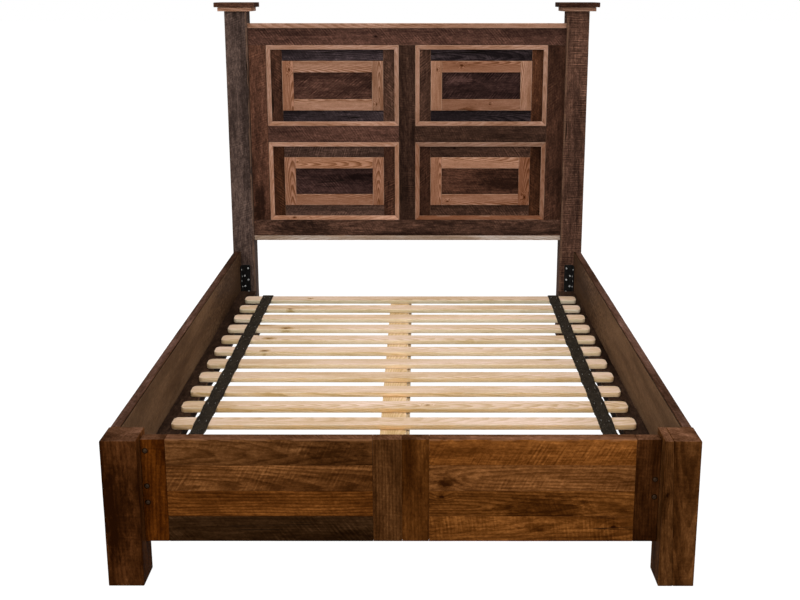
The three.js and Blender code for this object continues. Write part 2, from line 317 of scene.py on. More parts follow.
PLAIN: Colour = (1.0, 1.0, 1.0)
EASE_STEPS = ((0.0, 1.0), (0.29, 0.29), (1.0, 0.0))
CORNER_SIGNS = ((-1, -1), (1, -1), (1, 1), (-1, 1))
CORNER_ANGLES = (180.0, 270.0, 0.0, 90.0)
CORNER_FACES = 6
LATHE_FACES = 20
STATION_JITTER = 0.2
MOST_EASED = 0.2


def axes_of(grain: Axis, face: Axis) -> tuple[tuple[int, int, int], bool]:
    """A board's axes along, across and through it, and True if they turn left-handed."""
    across = 3 - grain.value - face.value
    return (grain.value, across, face.value), (across - grain.value) % 3 != 1


def point_at(axes: tuple[int, int, int], *parts: float) -> Vector:
    """Makes a point of the shared frame from parts given in a board's own directions.

    Args:
        axes: The axes along, across and through the board.
        parts: The point's part on each of them.

    Returns:
        The point.
    """
    point = Vector((0.0, 0.0, 0.0))
    for axis, part in zip(axes, parts):
        point[axis] = part
    return point


def corner_arc(corner: int, half: Pair, radius: float, faces: int) -> list[Pair]:
    """The arc round one corner of a rectangle, run anticlockwise.

    Args:
        corner: The corner's number, from the lowest left one.
        half: Half the rectangle's length and half its width.
        radius: The arc's radius.
        faces: How many faces the arc has.

    Returns:
        Its points.
    """
    middle = [sign * (reach - radius) for sign, reach in zip(CORNER_SIGNS[corner], half)]
    angles = [math.radians(CORNER_ANGLES[corner] + 90 * i / faces) for i in range(faces + 1)]
    return [(middle[0] + radius * math.cos(a), middle[1] + radius * math.sin(a)) for a in angles]


def rounded_plan(half: Pair, radius: float, straight: int) -> list[Pair]:
    """A rectangle with rounded corners, run anticlockwise.

    Args:
        half: Half its length and half its width.
        radius: Radius of its corners.
        straight: How many faces each long side has.

    Returns:
        Points along and across it.
    """
    plan = []
    for corner, (along, _) in enumerate(CORNER_SIGNS):
        plan += corner_arc(corner, half, radius, CORNER_FACES)
        if corner % 2 == 0:
            reach, (start, side) = 2 * (half[0] - radius), plan[-1]
            plan += [(start - along * reach * i / straight, side) for i in range(1, straight)]
    return plan


def cross_section(
    half: Pair, radii: list[float], sides: tuple[int, int]
) -> list[tuple[float, float, float, int]]:
    """One cross-section of a board.

    Args:
        half: Half its width and half its thickness there.
        radii: The radius of each arris.
        sides: How many inner points the wide and the narrow sides have.

    Returns:
        Points across and through the board, with 1 on the arrises and 0 elsewhere, and the
        number of the nearest arris.
    """
    arcs = [corner_arc(corner, half, radius, 2) for corner, radius in enumerate(radii)]
    outline = []
    for corner, arc in enumerate(arcs):
        outline += [(v, w, 1.0, corner) for v, w in arc]
        following = (corner + 1) % len(arcs)
        (v_start, w_start), (v_end, w_end) = arc[-1], arcs[following][0]
        reach = math.hypot(v_end - v_start, w_end - w_start)
        support = min(SUPPORT_WIDTH, reach / 3) / reach
        spans = sides[corner % 2] + 1
        for i in range(spans + 1):
            t = support + (1 - 2 * support) * i / spans
            near = corner if t < 0.5 else following
            v, w = v_start + t * (v_end - v_start), w_start + t * (w_end - w_start)
            outline.append((v, w, 0.0, near))
    return outline


def shown(name: str, data: bpy.types.ID) -> bpy.types.Object:
    """Puts some data in the scene.

    Args:
        name: The object's name.
        data: Its mesh, lamp or camera.

    Returns:
        The object.
    """
    thing = bpy.data.objects.new(name, data)
    bpy.context.scene.collection.objects.link(thing)
    return thing


def arris_radius(spot: Vector, corner: int, ease: float, draw: float) -> float:
    """The radius of an arris at one station, rubbed and nicked by use.

    Args:
        spot: The station's place in the timber.
        corner: The arris's number.
        ease: Its plain radius.
        draw: How far the cross-section is drawn in there.

    Returns:
        The radius.
    """
    rub = noise.noise(spot * RUBS_IN_METRE + Vector((0.0, RUB_APART * corner, 0.0)))
    nick = noise.noise(spot * NICKS_IN_METRE + Vector((NICK_APART * corner, 0.0, 0.0))) - NICK_BAR
    share = MEAN_EASE + RUB_DEPTH * rub + NICK_DEPTH * max(0.0, nick)
    return max(LEAST_RADIUS, ease * share - DRAW_LOSS * draw)


class PieceMaker:
    """Gathers boards and other closed forms into one mesh that becomes one piece."""

    def __init__(self, name: str) -> None:
        """Starts an empty piece.

        Args:
            name: The piece's name.
        """
        self.name = name
        self.chance = random.Random(name)
        self.points: list[Vector] = []
        self.faces: list[list[int]] = []
        self.smooth: list[bool] = []
        self.data: dict[Datum, list[float]] = {datum: [] for datum in Datum}
        self.middle = Vector((0.0, 0.0, 0.0))
        self.heart = Vector((0.0, 0.0, 0.0))

    def _spot(self, middle: float = 0.0, length: float = 0.0, width: float = 0.0) -> Vector:
        """Takes a board from a random spot of the timber, with the tree's heart near it.

        Args:
            middle: Where the board's middle is along it.
            length: Its length.
            width: Its width.

        Returns:
            The spot that its places are counted from.
        """
        draw = self.chance.uniform
        spot = Vector([draw(-PLACE_SPREAD, PLACE_SPREAD) for _ in range(3)])
        self.middle = spot + Vector((middle, 0.0, 0.0))
        along, across = (
            draw(-share, share) * reach for share, reach in zip(HEART_SPREAD, (length, width))
        )
        self.heart = self.middle + Vector((along, across, -draw(*HEART_DEPTH)))
        return spot

    def _point(
        self, at: Vector, place: Vector, look: Look, arris: float, light_tint: Colour = PLAIN
    ) -> None:
        """Adds one point with the data that its finish reads.

        Args:
            at: Where it is.
            place: Where it was in the timber.
            look: The look of the wood there.
            arris: How worn an arris it lies on.
            light_tint: What its stain is multiplied by, where light and shade are painted on it.
        """
        self.points.append(at)
        own_marks = [
            (self.middle.x + mark[0], self.middle.y + mark[1], mark[2])
            for mark in (look.knot, look.blot)
        ]
        stain = [part * look.tone * share for part, share in zip(look.stain.value, light_tint)]
        values = (place, (look.saw, look.scored, look.figure),
                  (look.knots, look.patches, look.checks), *own_marks, self.heart,
                  (*stain, 1.0), (arris,))
        for datum, value in zip(Datum, values):
            self.data[datum].extend(value)

    def _skin(self, first: int, rings: int, flip: bool) -> None:
        """Joins rings of points into a closed skin with flat ends.

        Args:
            first: Number of the first ring's first point.
            rings: How many rings there are.
            flip: True if the rings run the other way round.
        """
        def face(corners: list[int], smooth: bool) -> None:
            """Adds one face, turned where the rings run the other way."""
            self.faces.append(corners[::-1] if flip else corners)
            self.smooth.append(smooth)

        count = (len(self.points) - first) // rings
        for ring in range(rings - 1):
            here = first + ring * count
            there = here + count
            for i in range(count):
                j = (i + 1) % count
                face([here + i, here + j, there + j, there + i], True)
        last = first + (rings - 1) * count
        face([first + i for i in reversed(range(count))], False)
        face([last + i for i in range(count)], False)

    def board(self, board: Board) -> None:
        """Adds a board whose arrises, width and faces vary a little along it, as worn wood does.

        Args:
            board: The board to add.
        """
        axes, flip = axes_of(board.grain, board.face)
        along, across, through = axes
        low, centre = board.box.low, board.box.centre
        length, width, thick = (board.box.size[axis] for axis in axes)
        ease = min(board.ease, MOST_EASED * min(width, thick))
        sides = (max(0, round(width / SIDE_STEP) - 1), max(0, round(thick / SIDE_STEP) - 1))
        spans = max(2, round(length / STATION_STEP))
        ends = [(share * ease, draw * ease) for share, draw in EASE_STEPS]
        jitter = [self.chance.uniform(-STATION_JITTER, STATION_JITTER) for _ in range(1, spans)]
        stations = ends + [(length * (i + move) / spans, 0.0) for i, move in enumerate(jitter, 1)]
        stations += [(length - at, draw) for at, draw in reversed(ends)]
        offset = self._spot(length / 2, length, width)
        top, top_look = board.box.high.z - TOP_SKIN, board.top or board.look
        first = len(self.points)
        for number, (at, draw) in enumerate(stations):
            capped = number in (0, len(stations) - 1)
            spot = offset + Vector((at, 0.0, 0.0))
            radii = [
                arris_radius(spot, corner, ease * max(1.0, worn), draw)
                for corner, worn in enumerate(board.worn)
            ]
            wave = 0.0
            if draw == 0:
                wave = SURFACE_WAVE * (1 + noise.noise(spot * WAVES_IN_METRE)) / 2
            half = ((width - 2 * (draw + wave)) / 2, (thick - 2 * (draw + wave)) / 2)
            for v, w, arris, corner in cross_section(half, radii, sides):
                run = at
                if board.mitre:
                    drawn = (width / 2 - board.mitre * v) / (length / 2)
                    run = length / 2 + (at - length / 2) * (1 - drawn)
                share = v / width + 0.5
                lean = board.lean[0] * (1 - share) + board.lean[1] * share
                where = point_at(axes, low[along] + run, centre[across] + v + lean * run / length,
                                 centre[through] + w)
                edge = 0.0 if capped else 1.0 if draw > 0 else arris
                # Top faces take the board's top look: wear with painted sheen, and painted shade on a
                # rail lining.
                look = top_look if where.z > top else board.look
                self._point(where, offset + Vector((run, v, w)), look, edge * board.worn[corner])
        self._skin(first, len(stations), flip)
        if board.tongue:
            self.board(board.tongue_board())

    def slab(
        self, box: Box, look: Look, corner: float, ease: float, grain: Axis, face: Axis,
        side_light: Colour = PLAIN,
    ) -> None:
        """Adds a flat piece with rounded corners in plan and eased edges.

        Args:
            box: The space it fills.
            look: What its finish reads.
            corner: Radius of its corners in plan.
            ease: Radius of its edges.
            grain: The long axis of its plan.
            face: The axis that it is flat across.
            side_light: What its sides' stain is multiplied by, as painted light and shade on them.
        """
        axes, flip = axes_of(grain, face)
        along, across, through = axes
        low, centre = box.low, box.centre
        length, width, thick = (box.size[axis] for axis in axes)
        support = min(SUPPORT_WIDTH, corner / 2)
        levels = [(0.0, ease + support, 0.0)]
        levels += [(share * ease, draw * ease, 1.0) for share, draw in EASE_STEPS]
        levels += [(thick / 2, 0.0, 0.0)]
        levels += [(thick - share * ease, draw * ease, 1.0) for share, draw in reversed(EASE_STEPS)]
        levels += [(thick, ease + support, 0.0)]
        offset = self._spot(0.0, length, width)
        first = len(self.points)
        straight = max(1, round(length / (2 * STATION_STEP)))
        for height, draw, arris in levels:
            half = (length / 2 - draw, width / 2 - draw)
            for u, v in rounded_plan(half, max(corner - draw, LEAST_RADIUS), straight):
                where = point_at(axes, centre[along] + u, centre[across] + v, low[through] + height)
                place = offset + Vector((u, v, height))
                self._point(where, place, look, arris, PLAIN if draw else side_light)
        self._skin(first, len(levels), flip)

    def loft(self, rings: list[list[Vector]], look: Look) -> None:
        """Adds a form skinned over rings that follow one another along Y.

        Args:
            rings: The points of each ring.
            look: What its finish reads.
        """
        first = len(self.points)
        for ring in rings:
            for at in ring:
                self._point(at, Vector((at.y, at.x, at.z)), look, 0.0)
        self._skin(first, len(rings), True)

    def lathe(
        self, base: Vector, axis: Axis, sign: int, profile: list[Pair], look: Look,
        lobes: float = 0.0,
    ) -> None:
        """Adds a turned form, such as a screw head, on a flat surface.

        Args:
            base: The middle of its foot.
            axis: The axis that it is turned about.
            sign: 1 or -1, the way that it stands along the axis.
            profile: Radius and height of each ring, from the foot to the crown.
            look: What its finish reads.
            lobes: How deeply the hollow inside its crown is cut to a cross.
        """
        up = axis.value
        axes = (up, (up + 1) % 3, (up + 2) % 3)
        first = len(self.points)
        offset = self._spot()
        top = max(height for _, height in profile)
        crowned = False
        for radius, height in profile:
            crowned = crowned or height == top
            recess = crowned and height < top
            for i in range(LATHE_FACES):
                angle = 2 * math.pi * i / LATHE_FACES
                reach = radius * (1 - lobes * abs(math.sin(2 * angle)) if recess else 1.0)
                step = point_at(axes, sign * height, reach * math.cos(angle),
                                sign * reach * math.sin(angle))
                self._point(base + step, offset + step, look, 0.0)
        self._skin(first, len(profile), False)

    def finish(self, paint: "PaintShop", coat: "Finish", body: str, *nodes: str) -> None:
        """Makes the piece and gives it to the frame.

        Args:
            paint: Where its finish is made.
            coat: Its finish.
            body: The body that it rides on.
            nodes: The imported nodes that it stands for.
        """
        mesh = bpy.data.meshes.new(self.name)
        mesh.from_pydata([tuple(point) for point in self.points], [], self.faces)
        mesh.polygons.foreach_set("use_smooth", self.smooth)
        for datum, values in self.data.items():
            kind, field, _ = datum.kind
            mesh.attributes.new(datum.value, kind, "POINT").data.foreach_set(field, values)
        mesh.materials.append(paint.material(coat))
        mesh.validate()
        mesh.update()
        piece = shown(self.name, mesh)
        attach(piece, body)
        if nodes:
            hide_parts(*nodes)
        LOG.info("%s: %d faces on %s", self.name, len(mesh.polygons), body)


# ---- Shader effects that the finishes share ----

NOISE_MIDDLE = 0.5
HEART_SLOPE = 0.07
KNOT_PUSH = 12 * MM
SAW_BOW = 12 * MM
LEAST_MARK = 0.5 * MM
PICK_PITCH = 2.4 * MM
END_PITCH = 1.9 * MM


class Wire:
    """A value in a shader tree, on which sums are written as on a number."""

    def __init__(self, graph: "Graph", socket: Socket) -> None:
        """Takes the value of an output socket."""
        self.graph = graph
        self.socket = socket

    def __add__(self, other: object) -> "Wire":
        """This value plus another."""
        return self.graph.math("ADD", self, other)

    def __sub__(self, other: object) -> "Wire":
        """This value less another."""
        return self.graph.math("SUBTRACT", self, other)

    def __rsub__(self, other: float) -> "Wire":
        """A number less this value."""
        return self.graph.math("SUBTRACT", other, self)

    def __mul__(self, other: object) -> "Wire":
        """This value times another."""
        return self.graph.math("MULTIPLY", self, other)

    def __truediv__(self, other: object) -> "Wire":
        """This value over another."""
        return self.graph.math("DIVIDE", self, other)

    def most(self, other: object) -> "Wire":
        """The greater of this value and another."""
        return self.graph.math("MAXIMUM", self, other)

    def swing(self) -> "Wire":
        """How far a noise is above its middle."""
        return self - NOISE_MIDDLE

    def ease(self, start: object, end: object, low: float = 0.0, high: float = 1.0) -> "Wire":
        """Goes smoothly from low to high as this value goes from start to end."""
        node = self.graph.add("ShaderNodeMapRange", {
            "Value": self, "From Min": start, "From Max": end, "To Min": low, "To Max": high,
        }, interpolation_type="SMOOTHSTEP")
        return Wire(self.graph, node.outputs[0])

    def vector(self, operation: str, other: object) -> "Wire":
        """What a Vector Math node makes of this vector and another."""
        node = self.graph.add("ShaderNodeVectorMath", {0: self, 1: other}, operation=operation)
        return Wire(self.graph, node.outputs[0])

    def parts(self) -> "tuple[Wire, Wire, Wire]":
        """The three parts of this vector."""
        node = self.graph.add("ShaderNodeSeparateXYZ", {0: self})
        return tuple(self.graph.wires(node).values())

    def noise(
        self, factors: Triple, detail: float = 2.0, rough: float = 0.5, swirl: float = 0.0
    ) -> "Wire":
        """Smooth noise from about 0.2 to 0.8, read at this place.

        Args:
            factors: How often it changes in a metre, along, across and through.
            detail: How many finer layers it has.
            rough: How strong those layers are.
            swirl: How far it is twisted.

        Returns:
            The noise.
        """
        node = self.graph.add("ShaderNodeTexNoise", {
            "Vector": self.vector("MULTIPLY", factors), "Scale": 1.0, "Detail": detail,
            "Roughness": rough, "Distortion": swirl,
        })
        return Wire(self.graph, node.outputs[0])


class Graph:
    """Lays nodes and links in one shader tree."""

    def __init__(self, tree: Tree) -> None:
        """Works on this tree."""
        self.tree = tree

    def feed(self, node: bpy.types.Node, inputs: dict[str | int, object]) -> None:
        """Sets a node's inputs.

        Args:
            node: The node.
            inputs: A wire or a plain value for each input, by name or number.
        """
        for name, value in inputs.items():
            if isinstance(value, Wire):
                self.tree.links.new(value.socket, node.inputs[name])
            else:
                node.inputs[name].default_value = value

    def add(
        self, kind: str, inputs: dict[str | int, object] | None = None, **settings: object
    ) -> bpy.types.Node:
        """Adds a node.

        Args:
            kind: The node's type.
            inputs: What its inputs get, by name or number.
            settings: Properties to set on it.

        Returns:
            The node.
        """
        node = self.tree.nodes.new(kind)
        for name, value in settings.items():
            setattr(node, name, value)
        self.feed(node, inputs or {})
        return node

    def wires(self, node: bpy.types.Node) -> dict[str, Wire]:
        """A node's outputs, by name."""
        return {socket.name: Wire(self, socket) for socket in node.outputs}

    def math(self, operation: str, *values: object, clamp: bool = False) -> Wire:
        """A Math node's result.

        Args:
            operation: Which sum it does.
            values: Its inputs, in order.
            clamp: True to keep the result from 0 to 1.

        Returns:
            The result.
        """
        inputs = dict(enumerate(values))
        node = self.add("ShaderNodeMath", inputs, operation=operation, use_clamp=clamp)
        return Wire(self, node.outputs[0])

    def length(self, *parts: Wire) -> Wire:
        """The length of two parts that stand square to one another."""
        first, second = (self.math("POWER", part, 2.0) for part in parts)
        return self.math("SQRT", first + second)

    def pile(self, base: object, *layers: tuple[Wire, float]) -> Wire:
        """Adds layers to a base.

        Args:
            base: What they are added to.
            layers: Each layer and its weight.

        Returns:
            The sum.
        """
        for part, weight in layers:
            base = self.math("MULTIPLY_ADD", part, weight, base)
        return base

    def joined(self, *parts: object) -> Wire:
        """A vector of up to three parts."""
        return Wire(self, self.add("ShaderNodeCombineXYZ", dict(enumerate(parts))).outputs[0])

    def blend(self, factor: object, first: object, second: object, mode: str = "MIX") -> Wire:
        """Mixes two colours.

        Args:
            factor: The share of the second.
            first: The colour at 0.
            second: The colour at 1.
            mode: How they mix.

        Returns:
            The mixed colour.
        """
        low, high = ((*c, 1.0) if isinstance(c, tuple) else c for c in (first, second))
        node = self.add("ShaderNodeMix", {0: factor, 6: low, 7: high}, data_type="RGBA",
                        blend_type=mode)
        return Wire(self, node.outputs[2])

    def data(self, datum: Datum) -> Wire:
        """What the mesh carries."""
        node = self.add("ShaderNodeAttribute", attribute_name=datum.value)
        return self.wires(node)[datum.kind[2]]

    def use(self, effect: Tree, **values: object) -> dict[str, Wire]:
        """Places a shared effect.

        Args:
            effect: The node group.
            values: What its inputs get, by name.

        Returns:
            The group's outputs.
        """
        return self.wires(self.add("ShaderNodeGroup", values, node_tree=effect))


class Effect(Graph):
    """A shader node group with named inputs and outputs."""

    def __init__(self, name: str, inputs: dict[str, object], *outputs: str) -> None:
        """Starts a group.

        Args:
            name: The group's name.
            inputs: Each input's name and its plain value, or None for a vector.
            outputs: Each output's name.
        """
        super().__init__(bpy.data.node_groups.new(name, "ShaderNodeTree"))
        for title, value in inputs.items():
            kind = "Vector" if value is None else "Color" if isinstance(value, tuple) else "Float"
            socket = self._socket(title, "INPUT", kind)
            if value is not None:
                socket.default_value = (*value, 1.0) if kind == "Color" else value
        for title in outputs:
            self._socket(title, "OUTPUT", "Color" if title == "Color" else "Float")
        self.inputs = self.wires(self.add("NodeGroupInput"))
        self.end = self.add("NodeGroupOutput")

    def _socket(self, title: str, way: str, kind: str) -> bpy.types.NodeTreeInterfaceSocket:
        """Adds one socket to the group's own inputs or outputs."""
        kind = f"NodeSocket{kind}"
        return self.tree.interface.new_socket(name=title, in_out=way, socket_type=kind)

    def give(self, **outputs: Wire) -> Tree:
        """Sets the group's outputs, by name, and gives the group."""
        self.feed(self.end, outputs)
        return self.tree

    def scatter(self, factors: Triple) -> tuple[Wire, list[Wire]]:
        """Scatters middles over the place, one to a cell.

        Args:
            factors: How many cells there are in a metre, along, across and through.

        Returns:
            The distance to the nearest middle, in cells, and three random numbers of its cell.
        """
        place = self.inputs["Place"].vector("MULTIPLY", factors)
        cells = self.add("ShaderNodeTexVoronoi", {"Vector": place, "Scale": 1.0}, feature="F1")
        cells = self.wires(cells)
        picks = self.wires(self.add("ShaderNodeSeparateColor", {0: cells["Color"]}))
        return cells["Distance"], list(picks.values())


class Effects:
    """The shared effects, each built when a finish first asks for it."""

    @cached_property
    def fibre(self) -> Tree:
        """Streaks along the grain, from hair-fine to as broad as a hand."""
        g = Effect("wood_fibre", {"Place": None}, "Fine", "Streak", "Mottle", "Broad")
        place = g.inputs["Place"]
        return g.give(
            Fine=place.noise((95.0, 210.0, 210.0), 2.0, 0.7),
            Streak=place.noise((9.0, 85.0, 85.0), 4.0, 0.7, 0.15),
            Mottle=place.noise((36.0, 62.0, 62.0), 3.0, 0.7),
            Broad=place.noise((2.1, 13.0, 13.0), 3.0, 0.55, 0.3),
        )

    @cached_property
    def knots(self) -> Tree:
        """Scattered knots, and how far each pushes the growth lines aside."""
        g = Effect("wood_knots", {"Place": None, "Amount": 0.3}, "Core", "Halo", "Push")
        distance, picks = g.scatter((3.4, 8.0, 3.0))
        present = g.math("LESS_THAN", picks[0], g.inputs["Amount"])
        uneven = g.inputs["Place"].noise((70.0, 120.0, 120.0)).swing()
        reach = distance / (picks[1] + 0.6) + uneven * 0.05
        return g.give(Core=present * reach.ease(0.085, 0.05), Halo=present * reach.ease(0.2, 0.07),
                      Push=present * reach.ease(0.42, 0.0))

    @cached_property
    def growth(self) -> Tree:
        """Late-wood lines: rings round the tree's heart, cut at a slant, that part round knots."""
        inputs = {"Place": None, "Heart": None, "Pitch": 0.005, "Sway": 0.02, "Push": 0.0}
        g = Effect("growth_lines", inputs, "Line")
        place = g.inputs["Place"]
        along, across, through = place.vector("SUBTRACT", g.inputs["Heart"]).parts()
        radius = g.length(across, g.pile(through, (along, HEART_SLOPE)))
        sway = g.inputs["Sway"] * place.noise((2.4, 11.0, 11.0), 2.0, 0.4)
        rings = (radius + sway + g.inputs["Push"] * KNOT_PUSH) / g.inputs["Pitch"]
        turn = g.math("FRACT", rings + place.noise((9.0, 60.0, 60.0), 2.0, 0.6))
        return g.give(Line=turn.ease(0.25, 0.86) * turn.ease(0.88, 1.0, 1.0, 0.0))

    @cached_property
    def saw(self) -> Tree:
        """The slanting scores that a saw leaves, in patches; 0.5 is unmarked."""
        g = Effect("saw_marks", {"Place": None, "Slant": 0.5, "Pitch": 0.009}, "Mark")
        place = g.inputs["Place"]
        along, across, through = place.parts()
        cosine, sine = (g.math(ratio, g.inputs["Slant"]) for ratio in ("COSINE", "SINE"))
        level = across + through
        over = along * cosine + level * sine + place.noise((3.0, 8.0, 8.0), 1.0) * SAW_BOW
        strokes = g.joined(over, level * cosine - along * sine, 0.0)
        wave = g.math("SINE", over * (2 * math.pi) / g.inputs["Pitch"])
        uneven = strokes.noise((55.0, 11.0, 1.0), 2.0, 0.5).ease(0.35, 0.7, 0.0, 0.5)
        scratch = strokes.noise((230.0, 16.0, 1.0), 2.0, 0.6).swing() * 2.2
        patch = place.noise((5.0, 16.0, 16.0), 1.0).ease(0.36, 0.62, 0.15, 1.0)
        return g.give(Mark=(wave * uneven + scratch) * patch + NOISE_MIDDLE)

    @cached_property
    def checks(self) -> Tree:
        """Drying cracks along the grain."""
        g = Effect("drying_checks", {"Place": None, "Amount": 0.3}, "Crack")
        place = g.inputs["Place"]
        near = g.math("ABSOLUTE", place.noise((0.9, 26.0, 26.0), 2.0).swing())
        bar = 0.78 - g.inputs["Amount"] * 0.4
        open_here = place.noise((3.1, 17.0, 17.0), 1.0).ease(bar, bar + 0.07)
        return g.give(Crack=near.ease(0.016, 0.002) * open_here)

    @cached_property
    def nails(self) -> Tree:
        """Old nail holes, with the iron's dark stain round them."""
        g = Effect("nail_holes", {"Place": None, "Amount": 0.1}, "Hole", "Rust")
        distance, picks = g.scatter((4.5, 9.5, 4.0))
        present = g.math("LESS_THAN", picks[2], g.inputs["Amount"])
        return g.give(Hole=present * distance.ease(0.028, 0.02),
                      Rust=present * distance.ease(0.11, 0.02))

    @cached_property
    def chosen(self) -> Tree:
        """A board's own knot and its own stain mark, each an uneven oval along the grain; on a rail
        lining the mark is painted shade.
        """
        inputs = {"Place": None, "Knot": None, "Blot": None}
        g = Effect("chosen_marks", inputs, "Core", "Halo", "Push", "Blot")
        along, across, _ = g.inputs["Place"].parts()
        uneven = g.inputs["Place"].noise((40.0, 90.0, 90.0), 3.0, 0.6).swing()

        def oval(mark: Wire, slim: float, rough: float) -> tuple[Wire, Wire]:
            """Measures how far each place is from a mark.

            Args:
                mark: Where the mark is along and across the board, and its radius.
                slim: How many times longer than wide it is.
                rough: How uneven its rim is.

            Returns:
                The distance from its middle in its own radii, and the radius.
            """
            at_along, at_across, size = mark.parts()
            reach = g.math("ABSOLUTE", size).most(LEAST_MARK)
            near, side = (along - at_along) / reach, (across - at_across) / reach * slim
            return g.pile(g.length(near, side), (uneven, rough)), size

        knot, _ = oval(g.inputs["Knot"], 1.7, 1.6)
        blot, size = oval(g.inputs["Blot"], 3.4, 2.2)
        return g.give(Core=knot.ease(0.55, 0.3), Halo=knot.ease(1.3, 0.5), Push=knot.ease(3.0, 0.0),
                      Blot=blot.ease(1.25, 0.45) * g.math("SIGN", size))

    @cached_property
    def rub(self) -> Tree:
        """Where an arris is rubbed through, broken up by noise."""
        g = Effect("rubbed_arris", {"Place": None, "Arris": 0.0}, "Rub")
        patchy = g.inputs["Place"].noise((13.0, 60.0, 60.0), 3.0, 0.6).ease(0.36, 0.62)
        return g.give(Rub=(g.inputs["Arris"] * patchy).ease(0.15, 0.9))

    @cached_property
    def tones(self) -> Tree:
        """A wood's colour from its darkest grain at 0, through its stain at 0.5, to its palest at 1."""
        g = Effect("wood_tones", {"Stain": (0.1, 0.1, 0.1), "Value": 0.5, "Stops": None}, "Color")
        over = g.math("MINIMUM", g.inputs["Value"].most(-0.2), 1.1).swing()
        gains = [g.math("POWER", 2.0, over * stops) for stops in g.inputs["Stops"].parts()]
        return g.give(Color=g.inputs["Stain"].vector("MULTIPLY", g.joined(*gains)))

    @cached_property
    def weave(self) -> Tree:
        """Ribs of a woven strap: picks across it and ends along it."""
        g = Effect("strap_weave", {"Place": None}, "Height", "Lint")
        place = g.inputs["Place"]
        along, across, _ = place.parts()
        pick = g.math("SINE", along * (2 * math.pi / PICK_PITCH))
        end = g.math("SINE", across * (2 * math.pi / END_PITCH))
        return g.give(Height=g.pile(0.5, (pick * end, 0.5)),
                      Lint=place.noise((290.0, 270.0, 270.0), 1.0).ease(0.66, 0.76))

    @cached_property
    def speckle(self) -> Tree:
        """The fine uneven skin of coated or plated steel, with scuffs."""
        g = Effect("metal_skin", {"Place": None}, "Grain", "Scuff")
        place = g.inputs["Place"]
        return g.give(Grain=place.noise((900.0, 900.0, 900.0), 2.0, 0.6),
                      Scuff=place.noise((60.0, 90.0, 90.0), 4.0, 0.7).ease(0.52, 0.7))


# ---- Finishes ----

KNOT_TINT: Colour = (0.25, 0.12, 0.07)
# Cracks and nail holes are coloured near black: painted shade inside them.
PIT_COLOUR: Colour = (0.004, 0.003, 0.002)
PIT_COVER = 0.85
PATCH_SHADE = -0.3
BLOT_SHADE = -0.42
RUST_SHADE = -0.35


@dataclass(frozen=True)
class Finish:
    """A finish, built as one material.

    Attributes:
        name: Its name.
        slot: The record's material slot that it is named for; not used.
        specular: How much the surface mirrors beside plain lacquer.
        metal: How metallic it is.
        gloss: Its roughness.
        relief: How strong its relief is.
        depth: How deep that relief is, in metres.
    """

    name: str
    slot: str
    specular: float = 0.006
    metal: float = 0.0
    gloss: float = 0.5
    relief: float = 0.5
    depth: float = 1.2 * MM

    def pattern(self, g: Graph, effects: Effects) -> tuple[Wire, Wire, Wire]:
        """Lays out what varies over the surface.

        Args:
            g: The material's graph.
            effects: The shared effects.

        Returns:
            Its colour, its roughness and its height.
        """
        raise NotImplementedError

    def material(self, effects: Effects) -> bpy.types.Material:
        """Builds the finish.

        Args:
            effects: The shared effects.

        Returns:
            The material.
        """
        material = bpy.data.materials.new(self.name)
        material.use_nodes = True
        g = Graph(material.node_tree)
        colour, rough, height = self.pattern(g, effects)
        bump = g.add("ShaderNodeBump",
                     {"Strength": self.relief, "Distance": self.depth, "Height": height})
        g.feed(g.tree.nodes["Principled BSDF"], {
            "Base Color": colour, "Roughness": rough, "Normal": Wire(g, bump.outputs[0]),
            "Metallic": self.metal, "Specular IOR Level": self.specular,
        })
        return material


